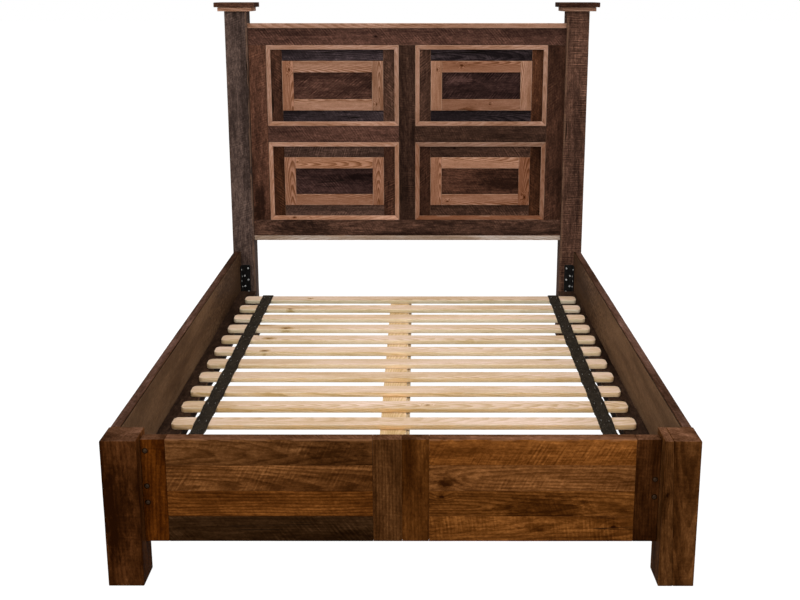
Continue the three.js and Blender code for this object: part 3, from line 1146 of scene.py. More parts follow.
@dataclass(frozen=True)
class WoodFinish(Finish):
    """A wood and its lacquer.

    Attributes:
        streak: How strongly streaks along the grain show.
        fine: How strongly the finest fibre shows.
        mottle: How strongly small blotches show.
        broad: How strongly tone drifts over the board.
        lines: How dark the late-wood lines are.
        pitch: Distance between those lines, in metres.
        sway: How far they wander, in metres.
        sawn: How strongly the saw's marks show.
        saw_pitch: Distance between those marks, in metres.
        knotty: How dark knots are.
        nails: How many old nail holes there are.
        stops: How many times each colour's light doubles from the darkest grain to the palest.
        rubbed: How strongly rubbed arrises show.
        rub_colour: The wood's colour where an arris is rubbed.
        gloss_spread: How far the lacquer's roughness varies.
    """

    streak: float = 0.9
    fine: float = 0.95
    mottle: float = 1.0
    broad: float = 0.9
    lines: float = 0.25
    pitch: float = 6 * MM
    sway: float = 30 * MM
    sawn: float = 0.5
    saw_pitch: float = 10.5 * MM
    knotty: float = 0.5
    nails: float = 0.1
    stops: Triple = (3.0, 3.05, 3.0)
    rubbed: float = 0.4
    rub_colour: Colour = (0.17, 0.095, 0.058)
    gloss_spread: float = 0.22

    def pattern(self, g: Graph, effects: Effects) -> tuple[Wire, Wire, Wire]:
        """Lays out the wood's fibre, growth lines, knots, cracks and saw marks.

        Args:
            g: The material's graph.
            effects: The shared effects.

        Returns:
            Its colour, its roughness and its height.
        """
        place = g.data(Datum.PLACE)
        slant, scored, figure = g.data(Datum.MARKS).parts()
        knot_count, patches, cracked = g.data(Datum.TRAITS).parts()

        fibre = g.use(effects.fibre, Place=place)
        knot = g.use(effects.knots, Place=place, Amount=knot_count)
        chosen = g.use(effects.chosen, Place=place, Knot=g.data(Datum.KNOT), Blot=g.data(Datum.BLOT))
        halo, core, push = (knot[part].most(chosen[part]) for part in ("Halo", "Core", "Push"))
        growth = g.use(effects.growth, Place=place, Heart=g.data(Datum.HEART), Pitch=self.pitch,
                       Sway=self.sway, Push=push)
        saw = g.use(effects.saw, Place=place, Slant=slant, Pitch=self.saw_pitch)
        crack = g.use(effects.checks, Place=place, Amount=cracked)
        nail = g.use(effects.nails, Place=place, Amount=self.nails)
        rub = g.use(effects.rub, Place=place, Arris=g.data(Datum.ARRIS))

        line = growth["Line"] * figure
        score = saw["Mark"].swing() * scored
        pit = crack["Crack"].most(nail["Hole"])
        value = g.pile(
            0.5,
            (fibre["Streak"].swing(), self.streak),
            (fibre["Fine"].swing(), self.fine),
            (fibre["Mottle"].swing(), self.mottle),
            (fibre["Broad"].swing(), self.broad),
            (fibre["Broad"].ease(0.5, 0.36) * patches, PATCH_SHADE),
            (line, -self.lines),
            (score, self.sawn),
            (halo, -0.5 * self.knotty),
            (core, -self.knotty),
            (chosen["Blot"], BLOT_SHADE),
            (nail["Rust"], RUST_SHADE),
        )
        colour = g.use(effects.tones, Stain=g.data(Datum.STAIN), Value=value,
                       Stops=self.stops)["Color"]
        colour = g.blend(chosen["Core"] * self.knotty, colour, KNOT_TINT, "MULTIPLY")
        colour = g.blend(rub["Rub"] * self.rubbed, colour, self.rub_colour)
        colour = g.blend(pit * PIT_COVER, colour, PIT_COLOUR)

        dull = g.pile(self.gloss, (fibre["Streak"].swing(), self.gloss_spread),
                      (score, 0.3 * self.gloss_spread))
        dull = g.math("MULTIPLY_ADD", pit, 0.3, dull, clamp=True)
        height = g.pile(fibre["Streak"] * 0.5, (fibre["Fine"], 0.35), (line, -0.3), (score, 0.9),
                        (fibre["Mottle"], 0.3), (core, 0.25), (pit, -2.0))
        return colour, dull, height


@dataclass(frozen=True)
class WebbingFinish(Finish):
    """Woven strap.

    Attributes:
        yarn: The yarn's colour.
        crown: How many times lighter the yarn is where it stands highest, a painted highlight on the
            weave.
        lint: The colour of dust caught in it.
    """

    yarn: Colour = (0.0152, 0.0115, 0.0079)
    crown: float = 2.6
    lint: Colour = (0.24, 0.2, 0.17)

    def pattern(self, g: Graph, effects: Effects) -> tuple[Wire, Wire, Wire]:
        """Lays out the ribs and the dust.

        Args:
            g: The material's graph.
            effects: The shared effects.

        Returns:
            Its colour, its roughness and its height.
        """
        place = g.data(Datum.PLACE)
        weave = g.use(effects.weave, Place=place)
        drift = g.use(effects.fibre, Place=place)["Mottle"]
        # The weave's high points are lightened: a painted highlight.
        crown = weave["Height"] * drift.ease(0.4, 0.6, 0.1, 1.0)
        colour = g.blend(crown, self.yarn, tuple(self.crown * part for part in self.yarn))
        colour = g.blend(weave["Lint"] * 0.7, colour, self.lint)
        return colour, drift.ease(0.2, 0.8, self.gloss, self.gloss + 0.25), weave["Height"]


@dataclass(frozen=True)
class SteelFinish(Finish):
    """Coated, plated or bare steel.

    Attributes:
        base: Its colour.
        scuffed: Its colour where it is scuffed.
    """

    slot: str = "black_steel"
    specular: float = 0.1
    relief: float = 0.25
    depth: float = 0.2 * MM
    base: Colour = (0.005, 0.0045, 0.004)
    scuffed: Colour = (0.02, 0.018, 0.016)

    def pattern(self, g: Graph, effects: Effects) -> tuple[Wire, Wire, Wire]:
        """Lays out the skin and its scuffs.

        Args:
            g: The material's graph.
            effects: The shared effects.

        Returns:
            Its colour, its roughness and its height.
        """
        skin = g.use(effects.speckle, Place=g.data(Datum.PLACE))
        colour = g.blend(skin["Scuff"] * 0.7, self.base, self.scuffed)
        return colour, skin["Scuff"].ease(0.0, 1.0, self.gloss, self.gloss + 0.2), skin["Grain"]


DARK_BARN = WoodFinish("dark_barn_board", "dark_barn_board")
CHARCOAL_BARN = replace(DARK_BARN, name="charcoal_board", slot="charcoal_board", nails=0.04)
WARM_BARN = replace(
    DARK_BARN, name="warm_barn_board", slot="warm_barn_board", streak=0.65, fine=0.65, mottle=0.8,
    broad=1.3, lines=0.5, pitch=9 * MM, sawn=0.4, saw_pitch=11 * MM, gloss=0.42,
    stops=(2.8, 3.2, 3.9), knotty=0.55, nails=0.05, rubbed=0.4, rub_colour=(0.24, 0.11, 0.05),
    specular=0.003,
)
RAIL_LINING = replace(WARM_BARN, name="rail_lining", streak=0.2, fine=0.35, mottle=0.4, broad=0.5,
                      stops=(2.8, 3.0, 3.0))
STAINED_BATTEN = replace(DARK_BARN, name="cleat_board", slot="cleat_board", sawn=0.3)
LIGHT_OAK = WoodFinish(
    "light_oak", "light_oak", streak=0.5, fine=0.3, mottle=0.15, broad=0.5, lines=0.4,
    pitch=3.8 * MM, sway=14 * MM, sawn=0.0, knotty=0.6, nails=0.1, stops=(2.6, 3.4, 4.4),
    rubbed=0.35, rub_colour=(0.5, 0.32, 0.22), relief=0.3,
)
BARE_PINE = WoodFinish(
    "pale_pine", "pale_pine", streak=0.35, fine=0.2, mottle=0.1, broad=0.5, lines=0.26,
    pitch=5 * MM, sway=16 * MM, sawn=0.0, knotty=0.9, nails=0.0, stops=(1.55, 2.0, 3.4),
    rubbed=0.5, rub_colour=(0.76, 0.62, 0.44), gloss=0.62, relief=0.22,
)
BLACK_WEBBING = WebbingFinish("black_webbing", "black_webbing", specular=0.03, gloss=0.7,
                              relief=0.8, depth=0.5 * MM)
BLACK_PLATE = SteelFinish("black_plate")
ZINC = SteelFinish("zinc_screw", base=(0.5, 0.5, 0.48), scuffed=(0.32, 0.31, 0.3), metal=0.85,
                   gloss=0.3)
OLD_IRON = SteelFinish("old_iron", base=(0.03, 0.015, 0.007), scuffed=(0.08, 0.045, 0.022),
                       metal=0.15, gloss=0.55)


class PaintShop:
    """Makes each finish's material once and hands it out."""

    def __init__(self) -> None:
        """Opens with no material made."""
        self._effects = Effects()
        self._made: dict[str, bpy.types.Material] = {}

    def material(self, coat: Finish) -> bpy.types.Material:
        """Hands out a finish's material.

        Args:
            coat: The finish.

        Returns:
            Its material.
        """
        if coat.name not in self._made:
            self._made[coat.name] = coat.material(self._effects)
        return self._made[coat.name]


# ---- Sub-assemblies ----

FIT = 0.3 * MM
SEAM = 0.2 * MM
WANDERS_IN_METRE = 9
RUCKS_IN_METRE = 25
FRAYS_IN_METRE = 60


def placed(along: float, across: float, size: float) -> Triple:
    """A place on a board from its middle, and a size, given in millimetres."""
    return along * MM, across * MM, size * MM


NOWHERE = placed(0, 0, 0)


def between_posts(end: str) -> Pair:
    """The clear width between the head or foot posts, less the fit."""
    left, right = Box.of(f"{end}_post_left"), Box.of(f"{end}_post_right")
    return left.high.x + FIT, right.low.x - FIT


@dataclass
class Assembly:
    """A sub-assembly of the bed.

    Attributes:
        paint: Where finishes are made.
    """

    paint: PaintShop

    def build(self) -> None:
        """Builds its pieces."""
        raise NotImplementedError

    def piece(self, name: str, coat: Finish, boards: list[Board], *nodes: str) -> None:
        """Builds one piece of the frame from its boards.

        Args:
            name: The piece's name.
            coat: Its finish.
            boards: Its boards, in order.
            nodes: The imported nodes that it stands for.
        """
        maker = PieceMaker(name)
        for board in boards:
            maker.board(board)
        maker.finish(self.paint, coat, BODY_FRAME, *nodes)


@dataclass
class HeadPosts(Assembly):
    """The two tall posts and their stepped caps.

    Attributes:
        left: The left post's look.
        right: The right post's look.
        cap: The cap boards' look.
        base: The cap bases' look.
        right_cap_tone: How light the right cap's board is beside the left one's.
        right_base_tone: How light the right cap's base is beside the left one's.
        ease: Radius of the posts' arrises.
        base_ease: Radius of the cap bases' arrises.
        cap_ease: Radius of the cap boards' arrises.
        bare_arris: How worn the arris next to the panel is; its lighter colour is wear and a painted
            highlight.
    """

    left: Look = Look(Stain.ASH_BROWN, 1.11, -0.35, 0.5, 0.8, 0.1, 0.4, 0.5)
    right: Look = Look(Stain.COCOA, 1.06, 0.02, 1.1, 0.3, 0.1, 0.3, 0.4)
    cap: Look = Look(Stain.UMBER, 0.74, 0.3, 0.2, 0.2, 0.0, 0.3, 0.2)
    base: Look = Look(Stain.SALMON_OAK, 1.35, 0.0, 0.0, 0.6, 0.0, 0.2, 0.0)
    right_cap_tone: float = 0.57
    right_base_tone: float = 0.61
    ease: float = 2.2 * MM
    base_ease: float = 1.5 * MM
    cap_ease: float = 2.5 * MM
    bare_arris: float = 2.4

    def build(self) -> None:
        """Builds both posts and their caps."""
        for side, look in ((Side.LEFT, self.left), (Side.RIGHT, self.right)):
            self._post(side, look)
            self._cap(side)

    def _post(self, side: Side, look: Look) -> None:
        """Builds one post, its inner front arris worn, with a painted highlight along it.

        Args:
            side: Which post.
            look: Its look.
        """
        node = f"head_post_{side.word}"
        worn = [1.0, 1.0, 1.0, 1.0]
        # The inner front arris is worn and carries a painted highlight.
        worn[1 if side is Side.LEFT else 0] = self.bare_arris
        board = Board(Box.of(node), Z, Y, look, self.ease, worn=tuple(worn))
        self.piece(f"{node}_timber", DARK_BARN, [board], node)

    def _cap(self, side: Side) -> None:
        """Builds one cap's light base and dark board.

        Args:
            side: Which post's cap.
        """
        base, cap = self.base, self.cap
        if side is Side.RIGHT:
            base = replace(base, tone=base.tone * self.right_base_tone)
            cap = replace(cap, tone=cap.tone * self.right_cap_tone)
        for part, wood, coat, look, ease in (
            (f"cap_base_{side.word}", "oak", LIGHT_OAK, base, self.base_ease),
            (f"cap_board_{side.word}", "timber", DARK_BARN, cap, self.cap_ease),
        ):
            node = f"head_{part}"
            board = Board(Box.of(node), X, Z, look, ease)
            self.piece(f"{part}_{wood}", coat, [board], node)


@dataclass
class Headboard(Assembly):
    """The framed panel between the head posts.

    Attributes:
        thin_width: Width of the thin light frames' strips.
        inner_width: Width of the wide light frames' boards.
        trim_ease: Radius of the trims' arrises.
        frame_ease: Radius of the framework's arrises.
        field_ease: Radius of the panels' arrises.
        light_ease: Radius of the light frames' arrises.
    """

    thin_width: float = 19.5 * MM
    inner_width: float = 51.5 * MM
    trim_ease: float = 1.5 * MM
    frame_ease: float = 1.0 * MM
    field_ease: float = 0.7 * MM
    light_ease: float = 1.2 * MM

    def build(self) -> None:
        """Builds the trims, the framework and the four panels."""
        self._trims()
        self._framework()
        for row in ("upper", "lower"):
            for side in Side:
                self._field(row, side)
                self._thin_frame(row, side)
                self._inner_frame(row, side)

    def _trims(self) -> None:
        """Builds the light strips above and below the panel."""
        for node, look in (
            ("head_top_trim", Look(Stain.SALMON_OAK, 1.0, 0.0, 0.0, 0.5, 0.05, 0.2, 0.1)),
            ("head_bottom_trim", Look(Stain.GREY_OAK, 1.17, 0.0, 0.0, 0.4, 0.05, 0.4, 0.2)),
        ):
            box = Box.of(node).cut(X, *between_posts("head"))
            self.piece(f"{node}_oak", LIGHT_OAK, [Board(box, X, Y, look, self.trim_ease)], node)

    def _framework(self) -> None:
        """Builds the rails, stiles and mullion."""
        looks = {
            "head_top_rail": Look(
                Stain.CHESTNUT, 0.9, 0.7, 1.0, 0.2, 0.1, 0.3, 0.3, knot=placed(-140, 2, 12),
                blot=placed(-458, -6, 14)),
            "head_bottom_rail": Look(
                Stain.COCOA, 1.0, 0.55, 0.5, 0.9, 0.15, 1.1, 0.3, blot=placed(-490, -5, 150)),
            "head_stile_left": Look(
                Stain.UMBER, 1.12, -0.35, 0.5, 0.6, 0.1, 0.6, 0.3, blot=placed(-330, -8, 88)),
            "head_stile_right": Look(Stain.UMBER, 0.52, -0.6, 0.7, 0.3, 0.1, 0.6, 0.3),
            "head_mullion": Look(Stain.COCOA, 0.47, 0.1, 0.6, 0.5, 0.1, 0.6, 0.3),
            "head_mid_rail_left": Look(Stain.CHESTNUT, 0.97, 0.6, 0.9, 0.2, 0.1, 0.3, 0.3),
            "head_mid_rail_right": Look(Stain.COCOA, 0.63, 0.4, 0.8, 0.4, 0.1, 0.5, 0.3),
        }
        low, high = between_posts("head")
        boxes = {node: Box.of(node) for node in looks}
        mullion = boxes["head_mullion"]
        spaces = {
            "head_top_rail": (low, high),
            "head_bottom_rail": (low, high),
            "head_mid_rail_left": (boxes["head_stile_left"].high.x + FIT, mullion.low.x - FIT),
            "head_mid_rail_right": (mullion.high.x + FIT, boxes["head_stile_right"].low.x - FIT),
        }
        bottom, top = boxes["head_bottom_rail"].high.z + FIT, boxes["head_top_rail"].low.z - FIT
        for node, look in looks.items():
            box = boxes[node]
            if node in spaces:
                box, grain = box.cut(X, *spaces[node]), X
            else:
                box, grain = box.cut(Z, bottom, top), Z
                box = box.cut(X, max(box.low.x, low), min(box.high.x, high))
            tongue = END_TONGUED if spaces.get(node) == (low, high) else TONGUED
            board = Board(box, grain, Y, look, self.frame_ease, tongue=tongue)
            self.piece(f"{node}_timber", DARK_BARN, [board], node)

    def _panel_looks(self, row: str, side: Side) -> tuple[Look, ...]:
        """The looks of one panel's boards.

        Args:
            row: The panel's row, upper or lower.
            side: Its side.

        Returns:
            The looks of its left, right, top, bottom and centre boards.
        """
        coal = Look(Stain.CHARCOAL, 1.0, 0.6, 0.7, 2.0, 0.0, 0.9, 0.9)
        plain = Look(Stain.COCOA, 0.9, 0.6, 0.95, 0.3, 0.1, 0.4, 0.3)
        red, deep, dun, plum = (
            replace(plain, stain=stain) for stain in (Stain.UMBER, Stain.MAROON, Stain.DUN, Stain.PLUM)
        )
        return {
            ("upper", Side.LEFT): (
                replace(red, tone=0.66), replace(plain, tone=0.84, saw=0.7),
                replace(coal, tone=1.5), replace(coal, tone=1.15),
                Look(Stain.CHESTNUT, 0.85, -0.9, 1.1, 0.3, 0.1, 0.8, 0.3)),
            ("upper", Side.RIGHT): (
                replace(plain, tone=0.98, saw=-0.7), replace(deep, tone=1.13, scored=0.6),
                replace(coal, tone=1.04), replace(coal, tone=0.58, saw=-0.8),
                replace(plum, tone=0.35, saw=-0.7, scored=1.3, patches=0.8,
                        blot=placed(-98, 28, -62))),
            ("lower", Side.LEFT): (
                replace(deep, tone=0.78), replace(red, tone=0.98, saw=-0.4),
                replace(dun, tone=0.79, saw=-0.3), replace(dun, tone=1.26, saw=-0.6),
                replace(plum, tone=0.47, saw=0.7, patches=0.6, blot=placed(121, 18, 60))),
            ("lower", Side.RIGHT): (
                replace(red, tone=0.44, saw=-0.7), replace(deep, tone=0.68),
                replace(plain, tone=0.61, knot=placed(-120, 6, 9)), replace(plain, tone=0.64),
                replace(red, tone=1.0, figure=0.9, scored=0.5, patches=0.8,
                        blot=placed(130, -10, 110))),
        }[row, side]

    def _field(self, row: str, side: Side) -> None:
        """Builds the border boards and the centre board of one panel.

        Args:
            row: The panel's row, upper or lower.
            side: Its side.
        """
        node = f"head_field_{row}_{side.word}"
        field, inner = Box.of(node), Box.of(f"head_inner_frame_{row}_{side.word}")
        middle = field.cut(X, inner.low.x + SEAM, inner.high.x - SEAM)
        places = (
            (field.cut(X, high=inner.low.x), Z),
            (field.cut(X, low=inner.high.x), Z),
            (middle.cut(Z, low=inner.high.z), X),
            (middle.cut(Z, high=inner.low.z), X),
            (middle.cut(Z, inner.low.z + SEAM, inner.high.z - SEAM), X),
        )
        boards = [
            Board(box, grain, Y, look, self.field_ease, tongue=TONGUED)
            for (box, grain), look in zip(places, self._panel_looks(row, side))
        ]
        coat = CHARCOAL_BARN if row == "upper" else DARK_BARN
        self.piece(f"{node}_boards", coat, boards, node)

    def _thin_frame(self, row: str, side: Side) -> None:
        """Builds the mitred strips round one panel: top, bottom, left and right.

        Args:
            row: The panel's row, upper or lower.
            side: Its side.
        """
        node = f"head_thin_frame_{row}_{side.word}"
        wood, red, tan = Stain.SALMON_OAK, Stain.RED_OAK, Stain.TAN_OAK
        looks = {
            ("upper", Side.LEFT): ((wood, 1.03), (wood, 1.28), (wood, 0.97), (wood, 0.94)),
            ("upper", Side.RIGHT): ((wood, 1.05), (wood, 1.04), (wood, 1.05), (wood, 0.91)),
            ("lower", Side.LEFT): ((wood, 1.22), (wood, 1.58), (wood, 1.25), (wood, 1.29)),
            ("lower", Side.RIGHT): ((wood, 0.72), (red, 0.72), (tan, 0.86), (tan, 0.74)),
        }[row, side]
        looks = [Look(stain, tone, 0.0, 0.0, 0.35, 0.05, 0.2, 0.1) for stain, tone in looks]
        if ("lower", Side.LEFT) == (row, side):
            looks[1] = replace(looks[1], knot=placed(-190, 2, 10), blot=placed(-116, 1, 9))
        ends = ((Z, X, 1), (Z, X, -1), (X, Z, -1), (X, Z, 1))
        boards = []
        for (axis, grain, end), look in zip(ends, looks):
            strip = Box.of(node).strip(axis, end, self.thin_width)
            boards.append(Board(strip, grain, Y, look, self.light_ease, mitre=end))
        self.piece(f"{node}_strips", LIGHT_OAK, boards, node)

    def _inner_frame(self, row: str, side: Side) -> None:
        """Builds the butted boards of one wide light frame: left, right, top and bottom.

        Args:
            row: The panel's row, upper or lower.
            side: Its side.
        """
        node = f"head_inner_frame_{row}_{side.word}"
        ring, width = Box.of(node), self.inner_width
        tan, straw, red = Stain.TAN_OAK, Stain.STRAW_OAK, Stain.RED_OAK
        looks = {
            ("upper", Side.LEFT): ((tan, 1.02, placed(72, 7, 11)), (straw, 0.96, placed(-83, -7, 9)),
                                   (straw, 1.07, NOWHERE), (straw, 1.12, NOWHERE)),
            ("upper", Side.RIGHT): ((straw, 1.19, placed(73, 3, 8)), (straw, 1.06, NOWHERE),
                                    (tan, 0.98, placed(-90, 6, 10)), (tan, 0.8, placed(40, 4, 7))),
            ("lower", Side.LEFT): ((tan, 0.99, NOWHERE), (tan, 1.02, NOWHERE),
                                   (straw, 1.53, placed(-170, 4, 8)), (tan, 0.98, NOWHERE)),
            ("lower", Side.RIGHT): ((tan, 1.03, NOWHERE), (red, 0.7, placed(-75, 3, 12)),
                                    (straw, 1.33, NOWHERE), (tan, 0.98, placed(-150, -8, 9))),
        }[row, side]
        rails = ring.inset(X, width + SEAM)
        places = (
            (ring.strip(X, -1, width), Z),
            (ring.strip(X, 1, width), Z),
            (rails.strip(Z, 1, width), X),
            (rails.strip(Z, -1, width), X),
        )
        boards = []
        for (box, grain), (stain, tone, hole) in zip(places, looks):
            look = Look(stain, tone, 0.0, 0.0, 1.0, 0.08, 0.3, 0.1, knot=hole)
            boards.append(Board(box, grain, Y, look, self.light_ease))
        self.piece(f"{node}_boards", LIGHT_OAK, boards, node)


@dataclass
class Footboard(Assembly):
    """The low board at the foot and its two posts.

    Attributes:
        stave: Width of the right post's inner stave at its foot.
        stave_lean: How far that stave's edge moves up to its top.
        tops: How light the tops of the left post, the right post, the stiles and left
        boards, and the right boards are, with wear and painted sheen.
        bare_arris: How worn the boards' upper front arris is.
        stile_seam: Where the centre stile's two boards meet, as a share of its width.
        post_ease: Radius of the left post's arrises.
        stave_ease: Radius of the right post's staves' arrises.
        stile_ease: Radius of the end stiles' arrises.
        centre_ease: Radius of the centre stile's arrises.
        field_ease: Radius of the boards' arrises.
        bolt_in: How far the bolt ends stand from the posts.
        bolt_radius: Radius of a bolt end.
        bolt_heights: How high the left and the right bolt ends are above the stiles' lower edge.
    """

    stave: float = 41 * MM
    stave_lean: float = -18 * MM
    tops: tuple[float, float, float, float] = (1.0, 1.5, 1.25, 1.6)
    # bare_arris: How worn the boards' upper front arris is; its lighter colour is wear and a painted
    # highlight.
    bare_arris: float = 2.4
    stile_seam: float = 0.52
    post_ease: float = 2.6 * MM
    stave_ease: float = 2.0 * MM
    stile_ease: float = 1.4 * MM
    centre_ease: float = 1.0 * MM
    field_ease: float = 0.8 * MM
    bolt_in: float = 13 * MM
    bolt_radius: float = 5.6 * MM
    bolt_heights: tuple[tuple[float, ...], ...] = (
        (273 * MM, 168 * MM, 119 * MM), (188 * MM, 136 * MM),
    )

    @cached_property
    def top_looks(self) -> list[Look]:
        """What the tops look like: worn, with a painted sheen."""
        return [Look(Stain.WORN_TOP, tone, figure=0.2) for tone in self.tops]

    def build(self) -> None:
        """Builds the posts, stiles, fields and bolt ends."""
        self._posts()
        self._stiles()
        self._fields()
        for side, heights in zip(Side, self.bolt_heights):
            self._bolts(side, heights)

    def _posts(self) -> None:
        """Builds the two posts; the right one shows the joint between its staves."""
        left = Look(Stain.EARTH, 1.42, 0.05, 0.3, 0.35, 0.1, 0.7, 0.4, blot=placed(0, -10, 150))
        right = Look(Stain.HONEY, 0.69, 0.05, 0.3, 0.4, 0.1, 0.8, 0.6, knot=placed(62, -2, 19))
        node = "foot_post_left"
        post = Board(Box.of(node), Z, Y, left, self.post_ease, worn=CRISP, top=self.top_looks[0])
        self.piece("foot_post_left_timber", WARM_BARN, [post], node)
        node = "foot_post_right"
        box, lean = Box.of(node), self.stave_lean
        seam = box.low.x + self.stave
        inner = Board(box.cut(X, high=seam), Z, Y, right, self.stave_ease,
                      worn=(0.4, 0.0, 0.0, 0.4), lean=(0.0, lean), top=self.top_looks[1],
                      tongue=(-1 * MM, 2 * MM, -2 * MM))
        outer = replace(inner, box=box.cut(X, low=seam + SEAM), tongue=None,
                        look=replace(right, tone=0.92, knot=NOWHERE),
                        worn=(0.0, 0.4, 0.4, 0.0), lean=(lean, 0.0))
        self.piece("foot_post_right_staves", WARM_BARN, [inner, outer], node)

    def _stiles(self) -> None:
        """Builds the end stiles and the two boards of the centre stile."""
        low, high = between_posts("foot")
        for side, look in (
            (Side.LEFT, Look(Stain.RUST, 1.08, 0.1, 0.4, 0.4, 0.1, 0.7, 0.3)),
            (Side.RIGHT, Look(Stain.EARTH, 1.22, 0.1, 0.4, 0.3, 0.1, 0.9, 0.3)),
        ):
            node = f"foot_end_stile_{side.word}"
            box = Box.of(node)
            box = box.cut(X, max(box.low.x, low), min(box.high.x, high))
            stile = Board(box, Z, Y, look, self.stile_ease, tongue=FULL_TONGUED, worn=CRISP,
                          top=self.top_looks[2])
            self.piece(f"{node}_timber", WARM_BARN, [stile], node)
        node = "foot_centre_stile"
        box = Box.of(node)
        seam = box.low.x + self.stile_seam * box.size.x
        look = Look(Stain.HONEY, 0.62, 0.1, 0.3, 0.4, 0.1, 0.3, 0.3)
        left = Board(box.cut(X, high=seam), Z, Y, look, self.centre_ease,
                     worn=(0.3, 0.0, 0.0, 0.3), tongue=FULL_TONGUED, top=self.top_looks[2])
        right = replace(left, box=box.cut(X, low=seam + SEAM), worn=(0.0, 0.3, 0.3, 0.0),
                        look=replace(look, stain=Stain.CARAMEL, tone=0.77, figure=0.2))
        self.piece("foot_centre_stile_boards", WARM_BARN, [left, right], node)

    def _fields(self) -> None:
        """Builds the four boards on each side of the centre stile, listed from the bottom up."""
        fields = {
            Side.LEFT: (
                Look(Stain.BOG, 0.88, 0.7, 1.1, 0.3, 0.0, 0.6, 0.3),
                Look(Stain.CARAMEL, 1.25, 0.3, 0.2, 0.6, 0.05, 0.2, 0.2),
                Look(Stain.HONEY, 1.3, -0.5, 0.7, 0.6, 0.1, 0.4, 0.2),
                Look(Stain.HONEY, 0.82, -0.4, 0.5, 0.5, 0.1, 0.7, 0.2, blot=placed(185, 2, 95)),
            ),
            Side.RIGHT: (
                Look(Stain.AMBER, 0.92, 0.15, 0.7, 0.4, 0.1, 0.3, 0.3, knot=placed(229, 5, 16),
                     blot=placed(20, 5, 50)),
                Look(Stain.AMBER, 0.79, 0.4, 0.4, 0.6, 0.1, 0.5, 0.2, knot=placed(-250, 20, 15),
                     blot=placed(35, -14, 135)),
                Look(Stain.HONEY, 1.5, -0.4, 0.5, 0.5, 0.1, 0.3, 0.2, knot=placed(-243, -15, 27),
                     blot=placed(-240, -12, 36)),
                Look(Stain.CARAMEL, 1.4, -0.5, 0.8, 0.2, 0.0, 0.2, 0.1),
            ),
        }
        for side, looks in fields.items():
            node = f"foot_field_{side.word}"
            boxes = Box.of(node).split(Z, len(looks), SEAM)
            top = len(looks) - 1
            boards = []
            for i, (box, look) in enumerate(zip(boxes, looks)):
                tongue = (2 * MM if i > 0 else -MM, 2 * MM if i < top else -MM, -2 * MM)
                boards.append(Board(box, X, Y, look, self.field_ease, tongue=tongue, worn=CRISP))
            # The upper front arris is worn and carries a painted highlight.
            boards[top] = replace(boards[top], worn=(0.3, self.bare_arris, 1.0, 0.3),
                                  top=self.top_looks[2 if side is Side.LEFT else 3])
            self.piece(f"{node}_boards", WARM_BARN, boards, node)

    def _bolts(self, side: Side, heights: tuple[float, ...]) -> None:
        """Builds the worn bolt ends in one end stile, each on a dark ring that paints a counterbore's
        shadow.

        Args:
            side: Which stile.
            heights: Their heights above the stile's lower edge.
        """
        box = Box.of(f"foot_end_stile_{side.word}")
        low, high = between_posts("foot")
        across = low + self.bolt_in if side is Side.LEFT else high - self.bolt_in
        radius = self.bolt_radius
        crown = [(1.0, 0.0), (1.0, 0.1), (0.9, 0.22), (0.7, 0.34), (0.45, 0.42), (0.3, 0.43),
                 (0.24, 0.25), (0.08, 0.22)]
        profile = [(share * radius, rise * radius) for share, rise in crown]
        # Each bolt end sits on a thin dark ring of wood: the painted shadow of a counterbore.
        rim = [(1.5 * radius, -MM), (1.5 * radius, 0.1 * MM), (1.3 * radius, 0.3 * MM),
               (0.9 * radius, 0.2 * MM)]
        maker = PieceMaker(f"footboard_bolt_ends_{side.word}")
        painted_well_shadows = PieceMaker(f"footboard_bolt_wells_{side.word}")
        for height in heights:
            base = Vector((across, box.low.y, box.low.z + height))
            maker.lathe(base, Y, -1, profile, Look(Stain.EARTH))
            painted_well_shadows.lathe(base, Y, -1, rim, Look(Stain.BOG, 0.5, figure=0.0))
        maker.finish(self.paint, OLD_IRON, BODY_FRAME)
        painted_well_shadows.finish(self.paint, WARM_BARN, BODY_FRAME)


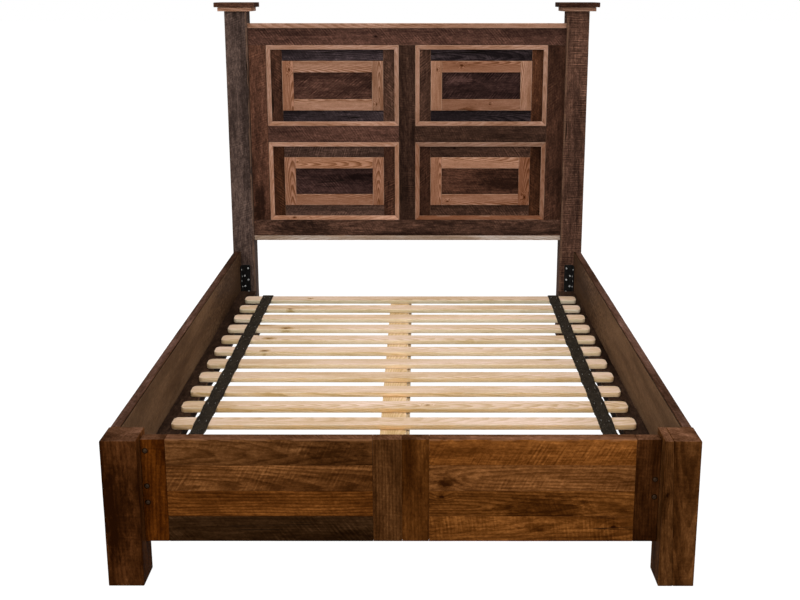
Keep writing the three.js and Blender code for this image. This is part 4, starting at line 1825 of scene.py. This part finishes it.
@dataclass
class SideRails(Assembly):
    """The side rails, their cleats and the steel corner plates.

    Attributes:
        outer_boards: How many boards the outer layer of a rail is glued from.
        lining: Thickness of a rail's inner lining.
        tops: How light the tops of the left rail and of the right rail are, with wear and painted
            sheen.
        shades: Half the length of the painted shade at the head end of the left lining and of the
        right lining, in millimetres.
        lining_ease: Radius of a lining's arrises.
        board_ease: Radius of the outer boards' arrises.
        cleat_ease: Radius of a cleat's arrises.
        plate: Thickness of a corner plate.
        plate_corner: Radius of a plate's corners.
        plate_ease: Radius of a plate's edges.
        screw_steps: Each screw's distance from the plate's bend and height on the plate.
        screw_radius: Radius of a screw head.
    """

    outer_boards: int = 4
    lining: float = 5 * MM
    tops: Pair = (1.02, 1.2)
    shades: Pair = (700, 760)
    lining_ease: float = 0.8 * MM
    board_ease: float = 1.4 * MM
    cleat_ease: float = 1.5 * MM
    plate: float = 4 * MM
    plate_corner: float = 6 * MM
    plate_ease: float = 0.7 * MM
    screw_steps: tuple[Pair, ...] = (
        (31 * MM, 143 * MM), (14 * MM, 107 * MM), (31 * MM, 88 * MM), (15 * MM, 57 * MM),
        (31 * MM, 30 * MM),
    )
    screw_radius: float = 4.4 * MM

    def build(self) -> None:
        """Builds both sides."""
        for side, top, shade in zip(Side, self.tops, self.shades):
            self._rail(side, top, shade)
            self._cleat(side)
            for end in ("head", "foot"):
                self._corner_plate(side, end)

    def _rail(self, side: Side, top: float, shade: float) -> None:
        """Builds one rail: a thin inner lining and an outer layer of narrower boards.

        Args:
            side: Which rail.
            top: How light its top is, with wear and painted sheen.
            shade: Half the length of the painted shade at its lining's head end, in millimetres.
        """
        node = f"side_rail_{side.word}"
        box = Box.of(node)
        if side is Side.LEFT:
            seam = box.high.x - self.lining
            inner, outer = box.cut(X, low=seam + SEAM), box.cut(X, high=seam)
        else:
            seam = box.low.x + self.lining
            inner, outer = box.cut(X, high=seam - SEAM), box.cut(X, low=seam)
        # The lining's dark end toward the head is painted shade, where the headboard shades it.
        look = Look(Stain.OLIVE, 1.2, 0.3, 0.2, 0.1, 0.0, 0.3, 0.0, blot=placed(1040, 0, shade))
        # Its top is painted near black: painted shade of the gap along the rail's top.
        lining = Board(inner, Y, X, look, self.lining_ease, worn=(0.0,) * 4,
                       top=Look(Stain.BATTEN, 0.7))
        self.piece(f"{node}_lining", RAIL_LINING, [lining])
        maker = PieceMaker(f"{node}_boards")
        for part in outer.split(Z, self.outer_boards, SEAM):
            tone = maker.chance.uniform(0.6, 1.0)
            stain = maker.chance.choice((Stain.HONEY, Stain.CARAMEL, Stain.AMBER))
            scored = maker.chance.uniform(0.2, 1.0)
            slant = maker.chance.uniform(-0.8, 0.8)
            look = Look(stain, tone, slant, scored, 0.5, 0.2, 0.8, 0.3)
            # Each board's top face is worn and carries a painted sheen.
            maker.board(Board(part, Y, X, look, self.board_ease, worn=CRISP,
                              top=Look(Stain.COCOA, top, figure=0.2)))
        maker.finish(self.paint, WARM_BARN, BODY_FRAME, node)

    def _cleat(self, side: Side) -> None:
        """Builds the batten that carries the slats' ends.

        Args:
            side: Which rail's batten.
        """
        node = f"slat_cleat_{side.word}"
        look = Look(Stain.BATTEN, 1.0, 0.4, 0.4, 0.3, 0.2, 0.5, 0.2)
        batten = Board(Box.of(node), Y, Z, look, self.cleat_ease)
        self.piece(f"{node}_batten", STAINED_BATTEN, [batten], node)

    def _corner_plate(self, side: Side, end: str) -> None:
        """Builds one angle plate and its screws.

        Args:
            side: Which rail's plate.
            end: Which end of the rail, head or foot.
        """
        node = f"rail_bracket_{end}_{side.word}"
        box, look = Box.of(node), Look(Stain.CHARCOAL)
        inward = (-side.value, -1 if end == "head" else 1)
        bend = (box.low.x if side is Side.LEFT else box.high.x,
                box.high.y if end == "head" else box.low.y)
        on_post = box.strip(Y, -inward[1], self.plate)
        on_rail = box.strip(X, -inward[0], self.plate)
        on_rail = on_rail.strip(Y, inward[1], box.size.y - self.plate)
        maker = PieceMaker(f"{node}_plate")
        maker.slab(on_post, look, self.plate_corner, self.plate_ease, Z, Y)
        maker.slab(on_rail, look, self.plate_corner, self.plate_ease, Z, X)
        maker.finish(self.paint, BLACK_PLATE, BODY_FRAME, node)

        screws = PieceMaker(f"{node}_screws")
        shape = [(1.0, 0.0), (1.0, 0.14), (0.9, 0.34), (0.66, 0.48), (0.5, 0.5), (0.46, 0.3),
                 (0.1, 0.22)]
        profile = [(share * self.screw_radius, rise * self.screw_radius) for share, rise in shape]
        for reach, height in self.screw_steps:
            for axis, steps in ((Y, (reach, self.plate)), (X, (self.plate, reach))):
                across, along = (bend[i] + inward[i] * steps[i] for i in range(2))
                base = Vector((across, along, box.low.z + height))
                screws.lathe(base, axis, inward[axis.value], profile, look, lobes=0.6)
        screws.finish(self.paint, ZINC, BODY_FRAME)


@dataclass
class SlatMat(Assembly):
    """Pine slats stapled to two straps.

    Attributes:
        count: How many slats there are.
        drift: How far the mat has crept to the right at its head end.
        corner: Radius of a slat's corners.
        ease: Radius of a slat's edges.
        sag: How far a strap dips between two slats.
        strap_step: Distance between the points along a strap.
        strap_wander: How far a strap's edges wander.
        curl: How far the straps' head ends lift.
        curl_length: How long the lifted ends are.
        ruck: How far a strap ruckles.
        staple: Length, width and height of a staple.
        staple_stray: How far a staple may stand from a slat's middle.
        far_tone: How light the farthest slat is beside the others, darkened as painted shade at the
            head end.
        near_tint: What the nearest slat's edges are tinted, as painted light and shade on its sides.
        far_tint: What the farthest slat's edges are tinted, as painted light and shade on its sides.
    """

    count: int = 13
    drift: float = 16 * MM
    corner: float = 17 * MM
    ease: float = 1.5 * MM
    sag: float = 4.5 * MM
    strap_step: float = 9 * MM
    strap_wander: float = 2.0 * MM
    curl: float = 1.5 * MM
    curl_length: float = 14 * MM
    ruck: float = 0.4 * MM
    staple: Triple = (11 * MM, 1.3 * MM, 0.7 * MM)
    staple_stray: float = 6 * MM
    far_tone: float = 0.86
    near_tint: Colour = (1.45, 1.27, 0.83)
    far_tint: Colour = (1.05, 1.25, 1.26)

    @cached_property
    def slats(self) -> list[Box]:
        """The slats' boxes, from the foot end up."""
        return [Box.of(f"slat_{number:02d}") for number in range(1, self.count + 1)]

    def build(self) -> None:
        """Builds the slats, the straps and their staples."""
        for number, box in enumerate(self.slats, 1):
            self._slat(number, box)
        for side in Side:
            self._strap(side)
            self._staples(side)

    def _creep(self, y: float) -> float:
        """How far the mat has crept at a place along the bed."""
        first, last = self.slats[0].centre.y, self.slats[-1].centre.y
        return self.drift * min(1.0, max(0.0, (y - first) / (last - first)))

    def _slat(self, number: int, box: Box) -> None:
        """Builds one slat, round-cornered, with its edges taken off.

        Args:
            number: Its number, from the foot end up.
            box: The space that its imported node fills.
        """
        node = f"slat_{number:02d}"
        maker = PieceMaker(f"{node}_pine")
        creep = Vector((self._creep(box.centre.y), 0.0, 0.0))
        draw = maker.chance.uniform
        knot = {
            4: placed(75, -5, 10), 8: placed(-550, -20, 22), 9: placed(-555, -6, 24),
            10: placed(-505, -18, 30), 12: placed(-520, -26, 18), 13: placed(-450, -7, 14),
        }.get(number, NOWHERE)
        # The farthest slat is darkened: painted shade at the head end.
        tone = draw(0.96, 1.04) * (self.far_tone if number == self.count else 1.0)
        look = Look(Stain.PINE, tone, 0.0, 0.0, draw(0.5, 1.1), draw(0.02, 0.16), draw(0.0, 0.4), 0.0,
                    knot=knot)
        moved = Box(box.low + creep, box.high + creep)
        # The sides' tint runs from the nearest slat to the farthest: painted light and shade.
        light_tint = tuple(Vector(self.near_tint).lerp(self.far_tint, (number - 1) / (self.count - 1)))
        maker.slab(moved, look, self.corner, self.ease, X, Z, side_light=light_tint)
        maker.finish(self.paint, BARE_PINE, BODY_MAT, node)

    def _dip(self, y: float) -> float:
        """Works out how far a strap dips below the slats' tops.

        Args:
            y: The place along the bed.

        Returns:
            The dip there.
        """
        for near, far in zip(self.slats, self.slats[1:]):
            start, end = near.high.y, far.low.y
            if start < y < end:
                return self.sag * math.sin(math.pi * (y - start) / (end - start))
        return 0.0

    def _strap(self, side: Side) -> None:
        """Builds one strap, dipping between slats, with frayed edges and its head end turned up.

        Args:
            side: Which strap.
        """
        node = f"strap_{side.word}"
        box = Box.of(node)
        half, thick = box.size.x / 2, box.size.z
        steps = round(box.size.y / self.strap_step)
        across = (-1.0, -0.96, -0.8, -0.4, 0.0, 0.4, 0.8, 0.96, 1.0)
        rounding = (0.45, 0.15, 0.0, 0.0, 0.0, 0.0, 0.0, 0.15, 0.45)
        rings = []
        for step in range(steps + 1):
            y = box.low.y + box.size.y * step / steps
            curled = max(0.0, (y - box.high.y) / self.curl_length + 1)
            lift = self.curl * curled ** 2 - self._dip(y)
            wander = noise.noise(Vector((y * WANDERS_IN_METRE, half, 0.0)))
            shift = self._creep(y) + self.strap_wander * wander
            low, high = [], []
            for t, bend in zip(across, rounding):
                fray = noise.noise(Vector((y * FRAYS_IN_METRE, 9 * t, 3.0)))
                fray = self.strap_wander * 0.9 * fray if abs(t) == 1.0 else 0.0
                x = box.centre.x + shift + t * half + fray
                ruck = self.ruck * noise.noise(Vector((y * RUCKS_IN_METRE, 2 * t, 7.0)))
                ruck = lift + max(0.0, ruck)
                low.append(Vector((x, y, box.low.z + ruck + bend * thick)))
                high.append(Vector((x, y, box.high.z + ruck - bend * thick)))
            rings.append(low + high[::-1])
        maker = PieceMaker(f"{node}_webbing")
        maker.loft(rings, Look(Stain.CHARCOAL))
        maker.finish(self.paint, BLACK_WEBBING, BODY_MAT, node)

    def _staples(self, side: Side) -> None:
        """Builds the staples that hold one strap, two on each slat.

        Args:
            side: Which strap.
        """
        strap = Box.of(f"strap_{side.word}")
        maker = PieceMaker(f"strap_{side.word}_staples")
        length, width, height = self.staple
        for slat in self.slats:
            for share in (-0.5, 0.5):
                x = strap.centre.x + self._creep(slat.centre.y) + share * strap.size.x / 2
                y = slat.centre.y + maker.chance.uniform(-self.staple_stray, self.staple_stray)
                low = Vector((x - width / 2, y - length / 2, strap.high.z))
                box = Box(low, low + Vector((width, length, height)))
                maker.board(Board(box, Y, Z, Look(Stain.CHARCOAL), LEAST_RADIUS))
        maker.finish(self.paint, ZINC, BODY_MAT)


@dataclass
class CentreSupport(Assembly):
    """The beam under the slats and its two legs.

    Attributes:
        plank_thick: Thickness of the beam's flat board.
        upright_thick: Thickness of the board on its right edge.
        upright_drop: How far the upright's top is below the flat board's top.
        ease: Radius of the beam's arrises.
        leg_ease: Radius of the legs' arrises.
    """

    plank_thick: float = 19 * MM
    upright_thick: float = 11 * MM
    upright_drop: float = 3 * MM
    ease: float = 1.5 * MM
    leg_ease: float = 2.0 * MM

    def build(self) -> None:
        """Builds the beam's two boards and the legs."""
        node = "centre_beam"
        box = Box.of(node)
        look = Look(Stain.DEAL, 1.0, 0.0, 0.0, 0.6, 0.2, 0.2, 0.0)
        seam = box.high.x - self.upright_thick
        plank = box.cut(X, high=seam - SEAM).cut(Z, low=box.high.z - self.plank_thick)
        upright = box.cut(X, low=seam).cut(Z, high=box.high.z - self.upright_drop)
        self.piece("centre_beam_boards", BARE_PINE, [
            Board(plank, Y, Z, look, self.ease),
            # The upright takes a darker tone as painted shade on its lower top.
            Board(upright, Y, X, replace(look, tone=0.62), self.ease),
        ], node)
        for node in ("centre_leg_front", "centre_leg_rear"):
            leg = Board(Box.of(node), Z, Y, replace(look, tone=0.9), self.leg_ease)
            self.piece(f"{node}_timber", BARE_PINE, [leg], node)


# ---- Studio ----


@dataclass(frozen=True)
class SoftBox:
    """One soft studio lamp.

    Attributes:
        name: Its name.
        place: Where it hangs, in metres.
        aim: What it looks at.
        width: Its width and height.
        watts: Its power.
        mirrored: True if glossy surfaces show it.
    """

    name: str
    place: Triple
    aim: Triple
    width: Pair
    watts: float
    mirrored: bool = True


@dataclass
class Studio:
    """A pale floor, a white room, soft lamps and the camera.

    Attributes:
        lamps: The soft lamps.
        room: How much light the white room gives.
        floor_reach: Half the floor's width.
        floor_glow: How far the camera sees the floor as lit white.
        floor_shine: How bright that white is.
        camera_place: Where the camera stands.
        camera_tilt: How far it looks down, in degrees.
        camera_turn: How far it is turned left, in degrees.
        lens: Its focal length, in millimetres.
        shift: How far its frame is moved off the axis.
    """

    lamps: tuple[SoftBox, ...] = (
        SoftBox("overhead_softbox", (0.0, -0.4, 4.4), (0.0, 0.1, 0.3), (4.0, 4.0), 150.0),
        SoftBox("front_softbox", (-2.0, -8.6, 3.2), (0.0, 0.0, 0.6), (5.0, 4.0), 440.0),
        SoftBox("right_softbox", (5.6, -2.0, 2.6), (0.0, 0.2, 0.5), (3.0, 3.0), 130.0),
        SoftBox("left_softbox", (-5.6, 0.0, 2.6), (0.0, 0.2, 0.5), (3.0, 3.0), 90.0),
        SoftBox("rear_softbox", (0.8, 6.8, 2.8), (0.0, 0.8, 0.8), (4.0, 3.0), 140.0, False),
    )
    room: float = 0.25
    floor_reach: float = 60.0
    floor_glow: float = 0.85
    floor_shine: float = 1.18
    camera_place: Triple = (0.043, -3.854, 1.617)
    camera_tilt: float = 12.89
    camera_turn: float = 0.06
    lens: float = 48.03
    shift: Pair = (-0.0192, -0.078)

    def build(self) -> None:
        """Builds the studio."""
        self._camera()
        for lamp in self.lamps:
            self._lamp(lamp)
        self._room()
        self._floor()
        bpy.context.scene.view_settings.view_transform = "Standard"

    def _camera(self) -> None:
        """Stands the camera in front of the foot, looking slightly down."""
        data = bpy.data.cameras.new("camera")
        data.lens = self.lens
        data.shift_x, data.shift_y = self.shift
        data.clip_end = 4 * self.floor_reach
        camera = shown("camera", data)
        camera.location = self.camera_place
        camera.rotation_euler = Euler(
            (math.radians(90 - self.camera_tilt), 0.0, math.radians(self.camera_turn))
        )
        bpy.context.scene.camera = camera

    @staticmethod
    def _lamp(lamp: SoftBox) -> None:
        """Hangs one lamp and aims it.

        Args:
            lamp: The lamp.
        """
        data = bpy.data.lights.new(lamp.name, "AREA")
        data.shape = "RECTANGLE"
        data.size, data.size_y = lamp.width
        data.energy = lamp.watts
        light = shown(lamp.name, data)
        light.location = lamp.place
        aim = Vector(lamp.aim) - Vector(lamp.place)
        light.rotation_euler = aim.to_track_quat("-Z", "Y").to_euler()
        light.visible_camera = False
        light.visible_glossy = lamp.mirrored

    def _room(self) -> None:
        """Makes the room white to the camera and softly bright to everything else."""
        world = bpy.data.worlds.new("white_room")
        world.use_nodes = True
        g = Graph(world.node_tree)
        seen = g.wires(g.add("ShaderNodeLightPath"))["Is Camera Ray"]
        strength = seen.ease(0.0, 1.0, self.room, 1.0)
        g.feed(g.tree.nodes["Background"], {"Color": (*PLAIN, 1.0), "Strength": strength})
        bpy.context.scene.world = world

    def _floor(self) -> None:
        """Lays the pale floor."""
        reach = self.floor_reach
        corners = [(across * reach, along * reach, 0.0) for across, along in CORNER_SIGNS]
        mesh = bpy.data.meshes.new("pale_floor")
        mesh.from_pydata(corners, [], [(0, 1, 2, 3)])
        material = bpy.data.materials.new("pale_floor")
        material.use_nodes = True
        g = Graph(material.node_tree)
        g.tree.nodes.remove(g.tree.nodes["Principled BSDF"])
        matte = g.add("ShaderNodeBsdfDiffuse", {"Color": (0.5, 0.5, 0.5, 1.0)})
        glow = g.add("ShaderNodeEmission", {"Color": (*PLAIN, 1.0), "Strength": self.floor_shine})
        seen = g.wires(g.add("ShaderNodeLightPath"))["Is Camera Ray"]
        both = g.add("ShaderNodeMixShader", {
            0: seen * self.floor_glow, 1: Wire(g, matte.outputs[0]), 2: Wire(g, glow.outputs[0])})
        g.feed(g.tree.nodes["Material Output"], {"Surface": Wire(g, both.outputs[0])})
        mesh.materials.append(material)
        floor = shown("pale_floor", mesh)


def main() -> None:
    """Builds every sub-assembly and the studio."""
    logging.basicConfig(level=logging.INFO, format="%(message)s")
    paint = PaintShop()
    for assembly in (HeadPosts, Headboard, Footboard, SideRails, SlatMat, CentreSupport):
        LOG.info("building %s", assembly.__name__)
        assembly(paint).build()
    Studio().build()


if __name__ == "__main__":
    main()
